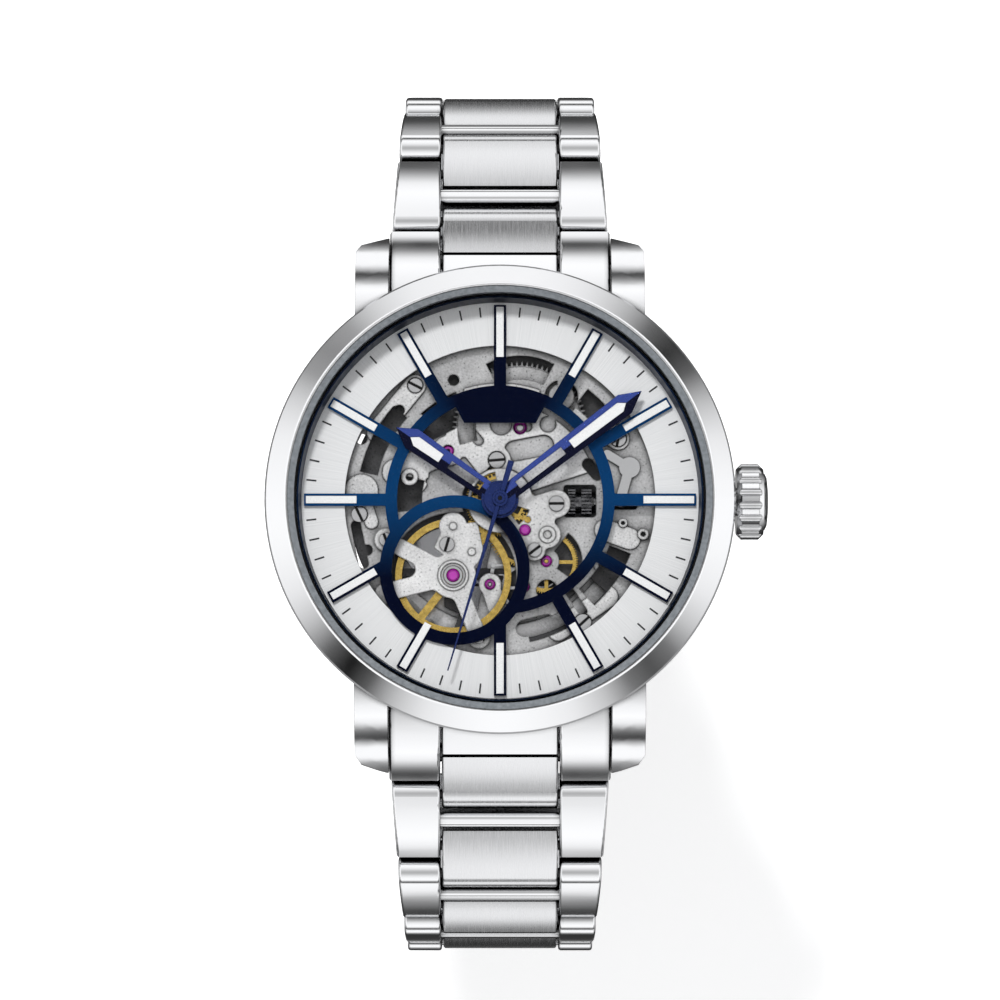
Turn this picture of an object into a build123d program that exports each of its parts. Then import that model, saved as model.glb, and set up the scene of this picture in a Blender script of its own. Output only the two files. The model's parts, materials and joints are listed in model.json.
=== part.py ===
from build123d import *
from math import asin, atan2, ceil, cos, degrees, hypot, radians, sin, sqrt, tan
import os

# Skeleton wristwatch on a three-row steel bracelet, closed into a loop as worn. Millimetres.
# The origin is on the axis of the hands, in the outer face of the case back.
# +Z leaves the dial towards the reader, +Y points to 12 o'clock and +X to the crown.

# ---- driving dimensions ----

# case
CASE_R = 20.6
BEZEL_R = 21.0
RIM_R = 18.9
CRYSTAL_R = 18.3
DIAL_SEAT_R = 18.15
CAVITY_R = 17.3
BACK_WINDOW_R = 14.2
BACK_SEAT_R = 14.9
CASE_BOTTOM = 1.5
CASE_TOP = 8.6
RIM_TOP = 11.1
CRYSTAL_BOTTOM = 9.7
CRYSTAL_TOP = 11.25
LUG_GAP = 20.0
LUG_SPAN = 26.0
LUG_TIP = 24.2
FIT = 0.05

# dial
DIAL_BOTTOM = 7.0
DIAL_TOP = 7.4
FRAME_TOP = 7.8
DIAL_OPENING_R = 13.9
SPOKE_WIDTH = 1.09
SPOKE_TIP_R = 17.5
MARKER_WIDTH = 0.69
MARKER_START_R = 12.8
HOUR_RING = (10.25, 9.2)
BALANCE_RING = (6.7, 5.6)
BALANCE_RING_CENTRE = (-4.05, -6.3)
PLAQUE_TOP_WIDTH = 8.2
PLAQUE_BOTTOM_WIDTH = 6.4
PLAQUE_BOTTOM_Y = 6.9

# hands, as clockwise angles from 12 o'clock
HOUR_ANGLE = 304.7
MINUTE_ANGLE = 52.7
SECONDS_ANGLE = 196.8
HOUR_HAND_Z = 8.05
MINUTE_HAND_Z = 8.65
SECONDS_HAND_Z = 9.2

# movement levels, from the back of the watch to the dial
ROTOR_Z = (2.5, 3.4)
RATCHET_Z = (3.55, 3.75)
BRIDGE_Z = (3.85, 4.4)
THIRD_Z = (4.5, 4.62)
DRUM_Z = (4.5, 5.15)
PALLET_Z = (4.82, 4.98)
ESCAPE_Z = (4.85, 4.97)
CENTRE_Z = (5.2, 5.32)
BALANCE_Z = (5.45, 5.72)
PLATE_Z = (5.75, 6.3)
MINUTE_WHEEL_Z = (6.36, 6.48)
HOUR_WHEEL_Z = (6.56, 6.68)
COVER_Z = (6.78, 7.0)
PLATE_R = 14.4
PIVOT_R = 0.15
PIVOT_HOLE_R = 0.19
HOUR_BORE_R = 0.6
HOUR_TUBE_R = 0.78

# wheel centres
THIRD = (2.075, -2.7)
FOURTH = (4.15, -5.4)
ESCAPE = (2.2, -7.7)
PALLET = (-0.9, -7.4)
BALANCE = (-4.19, -6.71)
BARREL = (1.8, 6.6)
MINUTE = (2.457, -1.721)

# teeth
CENTRE_TEETH = 80
THIRD_PINION = 10
THIRD_TEETH = 75
FOURTH_PINION = 10
FOURTH_TEETH = 84
ESCAPE_PINION = 7
ESCAPE_TEETH = 15
BARREL_TEETH = 80
CENTRE_PINION = 12
CANNON_TEETH = 12
MINUTE_TEETH = 36
MINUTE_PINION = 10
HOUR_TEETH = 40
RATCHET_TEETH = 60

# winding parts, on an axis along X
STEM_Z = 5.3
STEM_R = 0.55
CLUTCH_R = 1.2
CROWN_R = 3.4
CROWN_START = 21.15
CROWN_END = 23.6
CROWN_FLUTES = 18
SETTING_PIVOT = (11.6, 3.0)
GROOVE_X = (10.3, 11.2)

# bracelet
LINK_PITCH = 7.4
LINK_T = 1.5
KNUCKLE_R = 1.3
CENTRE_WIDTH = 10.67
END_GAP = 0.25
SIDE_GAP = 0.1
EDGE_R = 0.25
PIECE_GAP = 0.3
FIRST_PIN = (26.0, 0.4)
END_LINK_TILT = 23.0
LINK_TILTS = [18, 56, 80, 98, 116, 140, 163]
LINK_WIDTHS = [19.6, 18.4, 17.5, 17.1, 16.8, 16.5, 16.3, 16.1]
PIN_R = 0.45
PIN_HOLE_R = 0.5
BAR_START = 1.5
BAR_LENGTH = 1.4

# clasp: three nested leaves curved about one axis along X
CLASP_RADIUS = 60.0
BLADE_T = 1.0
BLADE_HALF_WIDTH = 5.0
COVER_INNER_HALF = 8.3
COVER_OUTER_HALF = 9.2
CLASP_HINGE_ANGLE = 17.0
BUTTON_ANGLE = 7.0


# ---- shared helpers ----


def disc(radius, z, centre=(0, 0)):
    return extrude(Pos(centre[0], centre[1], z[0]) * Circle(radius), z[1] - z[0])


def tube(outer, inner, z, centre=(0, 0)):
    face = Circle(outer) - Circle(inner)
    return extrude(Pos(centre[0], centre[1], z[0]) * face, z[1] - z[0])


def turned(points):
    """A solid of revolution about Z from (radius, height) points."""
    return revolve(Plane.XZ * Polygon(*points, align=None), Axis.Z)


def plate(outline, z):
    return extrude(Pos(0, 0, z[0]) * outline, z[1] - z[0], dir=(0, 0, 1))


def rod_x(radius, x0, x1, y=0.0, z=0.0):
    """A round bar along X."""
    return extrude(Plane.YZ.offset(x0) * Pos(y, z) * Circle(radius), x1 - x0)


def profile_x(face, half_width):
    """A (y, z) outline pulled out to both sides of the middle plane."""
    return extrude(Plane.YZ.offset(-half_width) * face, 2 * half_width, dir=(1, 0, 0))


def polar(radius, angle, centre=(0, 0)):
    """A point at an angle in degrees, counted from +X towards +Y."""
    return (
        centre[0] + radius * cos(radians(angle)),
        centre[1] + radius * sin(radians(angle)),
    )


def strap(start, end, width):
    """A bar with round ends between two points."""
    length = hypot(end[0] - start[0], end[1] - start[1])
    angle = degrees(atan2(end[1] - start[1], end[0] - start[0]))
    middle = ((start[0] + end[0]) / 2, (start[1] + end[1]) / 2)
    return Pos(*middle) * Rot(0, 0, angle) * SlotCenterToCenter(length, width)


def sector(outer, inner, start, end, centre=(0, 0)):
    """A ring piece between two angles in degrees."""
    reach = outer * 1.5
    steps = ceil((end - start) / 60)
    fan = [polar(reach, start + (end - start) * i / steps) for i in range(steps + 1)]
    wedge = Polygon((0, 0), *fan, align=None)
    return Pos(*centre) * ((Circle(outer) - Circle(inner)) & wedge)


def soften(outline, radius):
    """Round the inner corners of an outline."""
    return offset(offset(outline, radius), -radius)


def save(shape, node):
    export_step(shape, f"parts/{node}.step")


def save_group(solids, node):
    save(Compound(children=[s for piece in solids for s in piece.solids()]), node)


# ---- gears ----


def mesh_phase(phase, teeth, other_teeth, direction):
    """The first tooth angle of a wheel that meets another along a line of centres."""
    turn = ((direction - phase) * teeth / 360) % 1
    return direction + 180 + (turn + 0.5) * 360 / other_teeth


def gear_face(teeth, pitch_r, phase=0.0, tip=1.0, root=1.35, share=0.4):
    """A watch gear: narrow teeth with radial roots and rounded-off tips."""
    module = 2 * pitch_r / teeth
    half = share * 180 / teeth
    outline = []
    for i in range(teeth):
        middle = phase + 360 * i / teeth
        outline.append(polar(pitch_r - root * module, middle - half))
        outline.append(polar(pitch_r, middle - half))
        outline.append(polar(pitch_r + tip * module, middle - half / 4))
        outline.append(polar(pitch_r + tip * module, middle + half / 4))
        outline.append(polar(pitch_r, middle + half))
        outline.append(polar(pitch_r - root * module, middle + half))
    return Polygon(*outline, align=None)


def crossings(outer, inner, arms, arm_width, start=0.0):
    """The windows between the arms of a wheel."""
    face = Circle(outer) - Circle(inner)
    for i in range(arms):
        angle = start + 360 * i / arms
        face = face - Rot(0, 0, angle) * Pos(outer / 2, 0) * Rectangle(outer + 1, arm_width)
    return face


def wheel(teeth, pitch_r, z, centre, phase, arms, rim, bore):
    face = gear_face(teeth, pitch_r, phase)
    face = face - crossings(pitch_r - rim, bore + 0.45, arms, 0.32, phase)
    if bore > 0:
        face = face - Circle(bore)
    return extrude(Pos(centre[0], centre[1], z[0]) * face, z[1] - z[0])


def pinion(teeth, pitch_r, z, centre, phase):
    face = gear_face(teeth, pitch_r, phase, tip=0.6, share=0.36)
    return extrude(Pos(centre[0], centre[1], z[0]) * face, z[1] - z[0])


def direction_of(start, end):
    return degrees(atan2(end[1] - start[1], end[0] - start[0]))


def distance_of(start, end):
    return hypot(end[0] - start[0], end[1] - start[1])


def split_distance(distance, first_teeth, second_teeth):
    """The two pitch radii that share a distance between centres."""
    first = distance * first_teeth / (first_teeth + second_teeth)
    return first, distance - first


CENTRE_PITCH, THIRD_PINION_PITCH = split_distance(distance_of((0, 0), THIRD), CENTRE_TEETH, THIRD_PINION)
THIRD_PITCH, FOURTH_PINION_PITCH = split_distance(distance_of(THIRD, FOURTH), THIRD_TEETH, FOURTH_PINION)
FOURTH_PITCH, ESCAPE_PINION_PITCH = split_distance(distance_of(FOURTH, ESCAPE), FOURTH_TEETH, ESCAPE_PINION)
BARREL_PITCH, CENTRE_PINION_PITCH = split_distance(distance_of(BARREL, (0, 0)), BARREL_TEETH, CENTRE_PINION)
CANNON_PITCH, MINUTE_PITCH = split_distance(distance_of((0, 0), MINUTE), CANNON_TEETH, MINUTE_TEETH)
HOUR_PITCH, MINUTE_PINION_PITCH = split_distance(distance_of((0, 0), MINUTE), HOUR_TEETH, MINUTE_PINION)

CENTRE_TO_THIRD = direction_of((0, 0), THIRD)
THIRD_PINION_PHASE = mesh_phase(0, CENTRE_TEETH, THIRD_PINION, CENTRE_TO_THIRD)
FOURTH_PINION_PHASE = mesh_phase(0, THIRD_TEETH, FOURTH_PINION, direction_of(THIRD, FOURTH))
SECONDS_PINION_PHASE = mesh_phase(0, THIRD_TEETH, FOURTH_PINION, direction_of(THIRD, (0, 0)))
ESCAPE_PINION_PHASE = mesh_phase(0, FOURTH_TEETH, ESCAPE_PINION, direction_of(FOURTH, ESCAPE))
BARREL_PHASE = mesh_phase(0, CENTRE_PINION, BARREL_TEETH, direction_of((0, 0), BARREL))
MINUTE_PHASE = mesh_phase(0, CANNON_TEETH, MINUTE_TEETH, direction_of((0, 0), MINUTE))
MINUTE_PINION_PHASE = mesh_phase(0, HOUR_TEETH, MINUTE_PINION, direction_of((0, 0), MINUTE))


# ---- case ----


def lug_side():
    """The side outline of a lug: its top curves down from the case to a blunt tip."""
    top = Spline(
        (15.5, CASE_TOP - 0.1),
        (18.6, CASE_TOP - 0.5),
        (22.0, 5.9),
        (LUG_TIP, 2.6),
        tangents=[(1, 0), (0.45, -1)],
    )
    rest = Polyline(
        (LUG_TIP, 2.6),
        (LUG_TIP - 0.25, 0.5),
        (LUG_TIP - 1.6, 0.1),
        (19.0, CASE_BOTTOM + 0.1),
        (15.5, CASE_BOTTOM + 0.1),
        (15.5, CASE_TOP - 0.1),
    )
    return make_face(top + rest)


def lug_plan(side):
    """The outline of one lug from above, with its tip cut back towards the outer corner."""
    inner = LUG_GAP / 2
    outer = LUG_SPAN / 2
    points = [(inner, 12), (outer, 12), (outer, 22.7), (outer - 0.5, 23.4), (inner, LUG_TIP + 0.05)]
    return Polygon(*[(side * x, y) for x, y in points], align=None)


def end_link_bar():
    """Where the spring bar crosses between the lugs, as (y, z)."""
    back = 3.7
    return FIRST_PIN[0] - back, FIRST_PIN[1] + back * tan(radians(END_LINK_TILT))


def mid_case():
    body = turned(
        [
            (CAVITY_R, CASE_BOTTOM),
            (CASE_R - 1.4, CASE_BOTTOM),
            (CASE_R, CASE_BOTTOM + 1.6),
            (CASE_R, CASE_TOP),
            (DIAL_SEAT_R, CASE_TOP),
            (DIAL_SEAT_R, DIAL_BOTTOM),
            (CAVITY_R, DIAL_BOTTOM),
        ]
    )
    lug_profile = profile_x(lug_side(), LUG_SPAN)
    bar_y, bar_z = end_link_bar()
    for end in (1, -1):
        flip = Rot(0, 0, 0 if end > 0 else 180)
        for side in (1, -1):
            lug = lug_profile & plate(lug_plan(side), (0, CASE_TOP))
            lug = lug - disc(CASE_R - 1.0, (0, CASE_TOP))
            lug = lug - rod_x(0.45, -12.2, 12.2, bar_y, bar_z)
            body = body + flip * lug
    body = body - rod_x(1.3, 15, 22, 0, STEM_Z)
    return body


def bezel():
    return turned(
        [
            (DIAL_SEAT_R + FIT, CASE_TOP),
            (BEZEL_R - 0.1, CASE_TOP),
            (BEZEL_R, CASE_TOP + 0.1),
            (BEZEL_R, CASE_TOP + 0.35),
            (BEZEL_R - 0.15, CASE_TOP + 0.6),
            (RIM_R + 0.3, RIM_TOP - 0.08),
            (RIM_R + 0.12, RIM_TOP),
            (RIM_R, RIM_TOP - 0.08),
            (RIM_R, CRYSTAL_BOTTOM),
            (DIAL_SEAT_R + FIT, CRYSTAL_BOTTOM),
        ]
    )


def crystal():
    bevel = 0.35
    return turned(
        [
            (0, CRYSTAL_BOTTOM + 0.02),
            (CRYSTAL_R, CRYSTAL_BOTTOM + 0.02),
            (CRYSTAL_R, CRYSTAL_TOP - bevel),
            (CRYSTAL_R - bevel, CRYSTAL_TOP),
            (0, CRYSTAL_TOP),
        ]
    )


def gaskets():
    around_crystal = turned(
        [
            (CRYSTAL_R + 0.02, CRYSTAL_BOTTOM + 0.02),
            (RIM_R - 0.02, CRYSTAL_BOTTOM + 0.02),
            (RIM_R - 0.02, RIM_TOP - 0.2),
            (CRYSTAL_R + 0.02, RIM_TOP - 0.35),
        ]
    )
    under_back = tube(16.95, 16.45, (2.22, 2.42))
    return [around_crystal, under_back]


def rehaut_ring():
    return turned(
        [
            (17.75, DIAL_TOP + 0.02),
            (DIAL_SEAT_R - FIT, DIAL_TOP + 0.02),
            (DIAL_SEAT_R - FIT, CRYSTAL_BOTTOM - 0.05),
            (17.95, CRYSTAL_BOTTOM - 0.05),
        ]
    )


def case_back():
    ring = turned(
        [
            (BACK_WINDOW_R, 0),
            (18.3, 0),
            (18.6, 0.3),
            (18.6, CASE_BOTTOM - 0.02),
            (CAVITY_R - FIT, CASE_BOTTOM - 0.02),
            (CAVITY_R - FIT, 2.2),
            (BACK_SEAT_R, 2.2),
            (BACK_SEAT_R, 1.35),
            (BACK_WINDOW_R, 1.35),
        ]
    )
    for i in range(6):
        notch = Pos(18.6, 0, 0.4) * Box(1.1, 2.2, 0.9)
        ring = ring - Rot(0, 0, 30 + 60 * i) * notch
    return ring


def case_back_glass():
    """A stepped glass: its outer face is flush with the ring, and its flange is clamped inside."""
    window = disc(BACK_WINDOW_R - FIT, (0, 2.15))
    flange = disc(BACK_SEAT_R - FIT, (1.38, 2.15))
    return window + flange


def crown_tube():
    return rod_x(1.25, 17.3, 22.4, 0, STEM_Z) - rod_x(0.75, 17, 23, 0, STEM_Z)


def movement_ring():
    ring = tube(CAVITY_R - FIT, PLATE_R + FIT, (2.45, DIAL_BOTTOM - 0.04))
    return ring - rod_x(0.75, 10, 20, 0, STEM_Z)


# ---- dial ----


def dial_ring():
    return tube(DIAL_SEAT_R - FIT, DIAL_OPENING_R, (DIAL_BOTTOM, DIAL_TOP))


def marker_slot(clearance):
    length = SPOKE_TIP_R - 0.15 - MARKER_START_R - 2 * clearance
    middle = (SPOKE_TIP_R - 0.15 + MARKER_START_R) / 2
    return Pos(0, middle) * Rectangle(MARKER_WIDTH - 2 * clearance, length)


def dial_frame():
    ring_inner = Pos(*BALANCE_RING_CENTRE) * Circle(BALANCE_RING[1])
    ring_outer = Pos(*BALANCE_RING_CENTRE) * Circle(BALANCE_RING[0])
    frame = Circle(HOUR_RING[0]) - Circle(HOUR_RING[1])
    start = HOUR_RING[0] - 0.3
    for i in range(12):
        spoke = Pos(0, (start + SPOKE_TIP_R) / 2) * Rectangle(SPOKE_WIDTH, SPOKE_TIP_R - start)
        frame = frame + Rot(0, 0, 30 * i) * spoke
    half_top = PLAQUE_TOP_WIDTH / 2
    half_bottom = PLAQUE_BOTTOM_WIDTH / 2
    plaque = Polygon(
        (-half_bottom, PLAQUE_BOTTOM_Y),
        (half_bottom, PLAQUE_BOTTOM_Y),
        (half_top, 8.6),
        (0, 9.7),
        (-half_top, 8.6),
        align=None,
    )
    frame = frame + plaque + ring_outer - ring_inner - Circle(0.9)
    for i in range(12):
        frame = frame - Rot(0, 0, 30 * i) * marker_slot(0)
    return plate(frame, (DIAL_TOP + 0.01, FRAME_TOP))


def hour_markers():
    bar = plate(marker_slot(0.02), (DIAL_TOP + 0.02, FRAME_TOP + 0.04))
    return [Rot(0, 0, 30 * i) * bar for i in range(12)]


# ---- fixed parts of the movement ----

# Screws, as (centre, height of the surface that the head rests on, head radius)
SCREWS = [
    ((5.05, -0.29), COVER_Z[1], 0.68),
    ((3.1, -4.45), COVER_Z[1], 0.62),
    ((-4.74, -3.93), 6.75, 0.66),
    ((-10.2, -3.5), 6.75, 0.6),
    ((-1.9, -12.2), 6.75, 0.6),
    ((-0.29, 3.68), PLATE_Z[1], 0.72),
    ((7.4, -10.9), PLATE_Z[1], 0.75),
    ((10.6, 5.6), PLATE_Z[1], 0.7),
    ((-12.6, -1.2), PLATE_Z[1], 0.7),
    ((-7.6, 10.4), PLATE_Z[1], 0.65),
]
SCREW_SHANK_R = 0.35
HEAD_T = 0.18

# Jewels set in the main plate, as (centre, radius)
PLATE_JEWELS = [(FOURTH, 0.5), (ESCAPE, 0.45), ((-4.66, 4.5), 0.52), (BARREL, 0.6)]
COVER_JEWEL = (2.24, -2.66)


def plate_windows():
    """The openings that lighten the main plate and show the wheels."""
    balance_window = Pos(*BALANCE) * Circle(5.65)
    clutch_window = Pos(7.15, 0) * RectangleRounded(2.9, 2.9, 0.3)
    lever_slot = Pos(11.1, -0.1) * RectangleRounded(2.4, 1.3, 0.3)
    barrel_teeth = sector(6.5, 4.4, 62, 118, BARREL)
    barrel_side = sector(5.6, 4.0, 150, 196, BARREL)
    barrel_low = sector(5.7, 4.2, 232, 262, BARREL)
    fourth_side = sector(3.2, 1.15, -35, 52, FOURTH)
    fourth_low = Pos(4.2, -8.0) * Circle(0.95)
    left_high = sector(12.8, 11.2, 138, 168)
    left_low = sector(9.4, 7.0, 165, 186)
    low_right = sector(12.9, 11.3, -78, -62)
    right_side = sector(12.6, 10.6, -48, -22)
    right_high = sector(12.8, 10.8, 36, 52)
    upper_left = sector(10.6, 8.4, 112, 132)
    centre_gap = sector(3.4, 1.5, 150, 205)
    upper_blob = strap((-6.3, 6.3), (-4.3, 7.3), 1.7)
    left_triangle = Polygon((-9.0, 0.9), (-7.2, 0.4), (-8.6, -0.9), align=None)
    left_rim = strap((-12.9, -2.2), (-12.2, -5.6), 0.9)
    click_slot = strap((7.9, 3.3), (8.7, 2.4), 1.1)
    low_blob = strap((2.2, -11.4), (4.2, -10.9), 1.5)
    lever_gap = strap((5.9, -7.6), (7.4, -9.9), 0.8)
    top_right_ring = Pos(5.5, 9.4) * (Circle(1.5) - Circle(1.15))
    extra = upper_blob + left_triangle + left_rim + click_slot + low_blob + lever_gap + top_right_ring
    bridges = Pos(5.5, 9.4) * Rectangle(0.7, 3.4)
    return (
        extra
        - bridges
        + balance_window
        + clutch_window
        + lever_slot
        + barrel_teeth
        + barrel_side
        + barrel_low
        + fourth_side
        + fourth_low
        + left_high
        + left_low
        + low_right
        + right_side
        + right_high
        + upper_left
        + centre_gap
    )


def raised_pads():
    """Low pads on the dial side of the main plate, with round bosses at their ends."""
    left_bridge = strap((-4.66, 4.5), (-9.4, 2.6), 2.3) + Pos(-4.66, 4.5) * Circle(1.35)
    left_bridge = left_bridge + Pos(-8.09, 2.13) * Circle(1.7)
    left_bridge = left_bridge - strap((-6.9, 2.2), (-5.4, 0.9), 0.5)
    barrel_bridge = sector(8.8, 3.0, 18, 128)
    barrel_bridge = barrel_bridge - strap((1.3, 4.5), (3.9, 5.0), 1.9)
    barrel_bridge = barrel_bridge - Pos(0.1, 6.9) * Circle(1.0) - Pos(4.3, 6.9) * Circle(0.75)
    barrel_bridge = barrel_bridge - strap((-3.2, 6.9), (-1.9, 5.4), 0.9) - Pos(2.4, 6.7) * Circle(0.5)
    barrel_bridge = barrel_bridge - strap((5.9, 4.6), (7.2, 3.6), 0.5)
    left_lobes = Pos(-12.4, 0.9) * Circle(1.5) + strap((-12.4, 0.9), (-11.5, -1.9), 1.2)
    right_low = strap((9.4, -2.6), (11.6, -3.4), 1.9) + Pos(9.3, -5.6) * Circle(0.95)
    arch = sector(10.6, 9.0, 70, 108) + left_lobes + right_low
    shoulder = strap((-7.6, 10.4), (-11.0, 6.2), 1.9)
    crown_side = strap((10.6, 5.6), (7.4, 7.6), 2.0)
    low = strap((5.2, -11.6), (9.6, -8.6), 1.9)
    screw_boss = Pos(-0.29, 3.68) * Circle(1.25)
    pads = left_bridge + barrel_bridge + arch + shoulder + crown_side + low + screw_boss
    return soften(pads, 0.3) & Circle(PLATE_R)


def main_plate():
    windows = plate_windows()
    body = plate(Circle(PLATE_R) - windows, PLATE_Z)
    body = body + plate(raised_pads() - windows, (PLATE_Z[1] - 0.02, PLATE_Z[1] + 0.26))
    for post, radius in [((-8.09, 2.13), 0.75), ((12.8, -3.0), 0.5), ((11.0, -2.0), 0.4)]:
        body = body + tube(radius, radius * 0.45, (PLATE_Z[1] - 0.05, PLATE_Z[1] + 0.5), post)
    body = body - disc(0.65, (5, 7))
    body = body - disc(PIVOT_HOLE_R + 0.02, (5, 7), THIRD)
    body = body - disc(0.3, (5, 7), MINUTE)
    for centre, radius in PLATE_JEWELS:
        body = body - disc(radius + 0.02, (5, 7), centre)
    for centre, height, radius in SCREWS:
        body = body - disc(SCREW_SHANK_R + 0.03, (5, 7), centre)
        if height == PLATE_Z[1]:
            body = body - disc(radius + 0.08, (PLATE_Z[1], 7), centre)
    for hole in [(-4.16, 10.9), (-9.04, 8.15), (-11.7, 3.54), (-11.9, -4.4), (-12.4, 5.6), (9.3, -5.6)]:
        body = body - disc(0.5, (5, 7), hole)
    body = body - disc(0.25, (PLATE_Z[0] + 0.2, 7), SETTING_PIVOT)
    body = body - rod_x(STEM_R + 0.12, 8, 15, 0, STEM_Z)
    return body


def train_bridge():
    """The back plate: it carries the lower ends of the arbors, and the post of the rotor."""
    windows = sector(12.4, 10.6, 218, 250) + sector(12.4, 10.6, 262, 320)
    cross = Rectangle(1.6, 12) + Rectangle(12, 1.6)
    windows = windows + Pos(*BALANCE) * (Circle(4.6) - Circle(1.3) - cross)
    body = plate(Circle(13.6) - windows, BRIDGE_Z)
    post = disc(1.15, (2.2, BRIDGE_Z[0] + 0.05)) + disc(1.5, (2.25, 2.42))
    body = body + post
    body = body - disc(0.24, (4.2, 5))
    for centre in (THIRD, FOURTH, ESCAPE, PALLET, BALANCE):
        body = body - disc(PIVOT_HOLE_R, (3, 5), centre)
    body = body - disc(0.55, (3, 5), BARREL)
    body = body - rod_x(CLUTCH_R + 0.1, 5.7, 8.6, 0, STEM_Z)
    legs = [polar(13.1, 60), polar(13.1, 180), polar(13.1, 212), polar(13.1, 338)]
    for centre in legs:
        body = body + disc(0.45, (BRIDGE_Z[1] - 0.1, PLATE_Z[0] - 0.02), centre)
    return body


def balance_bridge():
    """Three broad arms over the balance, held by feet outside its window."""
    height = (6.4, 6.75)
    outline = Pos(*BALANCE) * Circle(2.05)
    outline = outline + strap(BALANCE, (-10.2, -3.5), 1.5)
    outline = outline + strap(BALANCE, (-10.2, -8.2), 1.6) + strap(BALANCE, (-1.9, -12.2), 1.5)
    outline = outline + Polygon(
        (-5.9, -4.2), (-5.0, -2.2), (-2.0, -1.9), (-1.4, -4.9), (-2.9, -6.6), align=None
    )
    outline = outline + Pos(-10.2, -3.5) * Circle(1.05) + Pos(-1.9, -12.2) * Circle(1.05)
    outline = outline + Pos(-4.2, -2.3) * Circle(1.25) + Pos(-10.25, -8.35) * Circle(0.95)
    body = plate(soften(outline, 0.7), height)
    feet = [(-10.35, -3.2), (-10.3, -8.6), (-1.9, -12.45), (-3.4, -1.6)]
    for centre in feet:
        body = body + disc(0.6, (PLATE_Z[1] + 0.01, height[0] + 0.05), centre)
    body = body - disc(0.85, (6, 7), BALANCE)
    for centre, top, _ in SCREWS:
        if top == height[1]:
            body = body - disc(SCREW_SHANK_R + 0.03, (6, 7), centre)
    pins = [(-4.2, -2.3), (-2.53, -4.59)]
    for centre in pins:
        body = body + disc(0.34, (height[1] - 0.05, height[1] + 0.16), centre)
    collar = tube(1.37, 1.12, (height[1] - 0.05, height[1] + 0.14), BALANCE)
    return body + collar


def pallet_bridge():
    """A small bridge under the balance that holds the top pivot of the pallet fork."""
    height = (5.06, 5.3)
    far = (0.7, -12.6)
    outline = strap(PALLET, far, 1.7) + Pos(*PALLET) * Circle(1.0)
    body = plate(outline, height)
    body = body + disc(0.7, (BRIDGE_Z[1] + 0.01, height[0] + 0.05), far)
    return body - disc(0.5, (5, 6), PALLET)


def motion_works_cover():
    """The plate with rounded lobes that keeps the minute wheel down."""
    outline = Circle(2.9)
    outline = outline + strap((0.8, -1.6), (5.05, -0.29), 2.5) + strap((2.1, -2.2), (4.24, -3.07), 2.4)
    outline = outline + Pos(3.1, -4.45) * Circle(0.95) + Pos(*COVER_JEWEL) * Circle(1.1)
    outline = soften(outline, 0.35) - Circle(1.05) - sector(2.75, 1.55, -52, -18) - sector(2.6, 1.5, 100, 200)
    body = plate(outline, COVER_Z)
    body = body + tube(0.75, 0.38, (COVER_Z[1] - 0.05, COVER_Z[1] + 0.14), (4.24, -3.07))
    for foot in [(5.6, 0.2), (4.9, -3.3)]:
        body = body + disc(0.42, (PLATE_Z[1] + 0.01, COVER_Z[0] + 0.05), foot)
    body = body - disc(0.52, (6, 8), COVER_JEWEL)
    for centre, top, _ in SCREWS[:2]:
        body = body - disc(SCREW_SHANK_R + 0.03, (6, 8), centre)
    return body - disc(0.3, (6, 8), MINUTE)


def domed_jewel(centre, radius, z, hole):
    """A synthetic ruby with a rounded top edge and a pivot hole."""
    rounding = radius * 0.3
    shape = turned(
        [
            (hole, z[0]),
            (radius, z[0]),
            (radius, z[1] - rounding),
            (radius - rounding, z[1]),
            (hole, z[1]),
        ]
    )
    return Pos(centre[0], centre[1], 0) * shape


def plate_jewels():
    top = PLATE_Z[1] + 0.06
    jewels = []
    for centre, radius in PLATE_JEWELS:
        hole = 0.3 if centre == BARREL else PIVOT_HOLE_R
        jewels.append(domed_jewel(centre, radius, (PLATE_Z[0] + 0.1, top), hole))
    jewels.append(domed_jewel(PALLET, 0.47, (5.1, 5.36), PIVOT_HOLE_R))
    jewels.append(domed_jewel(COVER_JEWEL, 0.5, (COVER_Z[0], COVER_Z[1] + 0.07), 0))
    jewels.append(domed_jewel(BALANCE, 0.6, (6.68, 6.95), 0))
    setting = tube(0.82, 0.62, (6.45, 6.9), BALANCE)
    return jewels + [setting]


def plate_screws():
    screws = []
    for centre, seat, head_r in SCREWS:
        seat = seat + 0.01
        shape = disc(head_r, (seat, seat + HEAD_T), centre)
        shape = shape + disc(SCREW_SHANK_R, (PLATE_Z[0] + 0.05, seat + 0.02), centre)
        slot = Pos(centre[0], centre[1], seat + HEAD_T) * Rot(0, 0, 37 * len(screws)) * Box(2, 0.22, 0.2)
        screws.append(shape - slot)
    return screws


def hairspring():
    """A flat spiral between the collet on the staff and a stud on the bridge."""
    turns = 7
    pitch = 0.19
    start_r = 0.62
    steps = 6
    path = [
        polar(start_r + pitch * i / steps, 360 * i / steps, BALANCE) for i in range(turns * steps + 1)
    ]
    end = path[-1]
    line = Spline(*[(x, y, 5.9) for x, y in path])
    strip = sweep(Plane(origin=line @ 0, z_dir=line % 0) * Rectangle(0.05, 0.05), path=line)
    stud = Pos(end[0], end[1], 6.1) * Box(0.3, 0.3, 0.5)
    return [strip + stud]


# ---- wheels of the train ----


def arbor(z, centre, radius=PIVOT_R):
    return disc(radius, z, centre)


def centre_wheel():
    body = wheel(CENTRE_TEETH, CENTRE_PITCH, CENTRE_Z, (0, 0), 0, 4, 0.45, 0.3)
    body = body + pinion(CENTRE_PINION, CENTRE_PINION_PITCH, (4.82, 5.16), (0, 0), 0)
    body = body + disc(0.56, (4.78, MINUTE_HAND_Z + 0.3))
    body = body + pinion(CANNON_TEETH, CANNON_PITCH, (6.34, 6.5), (0, 0), 0)
    return body - disc(0.24, (4, 10))


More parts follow.
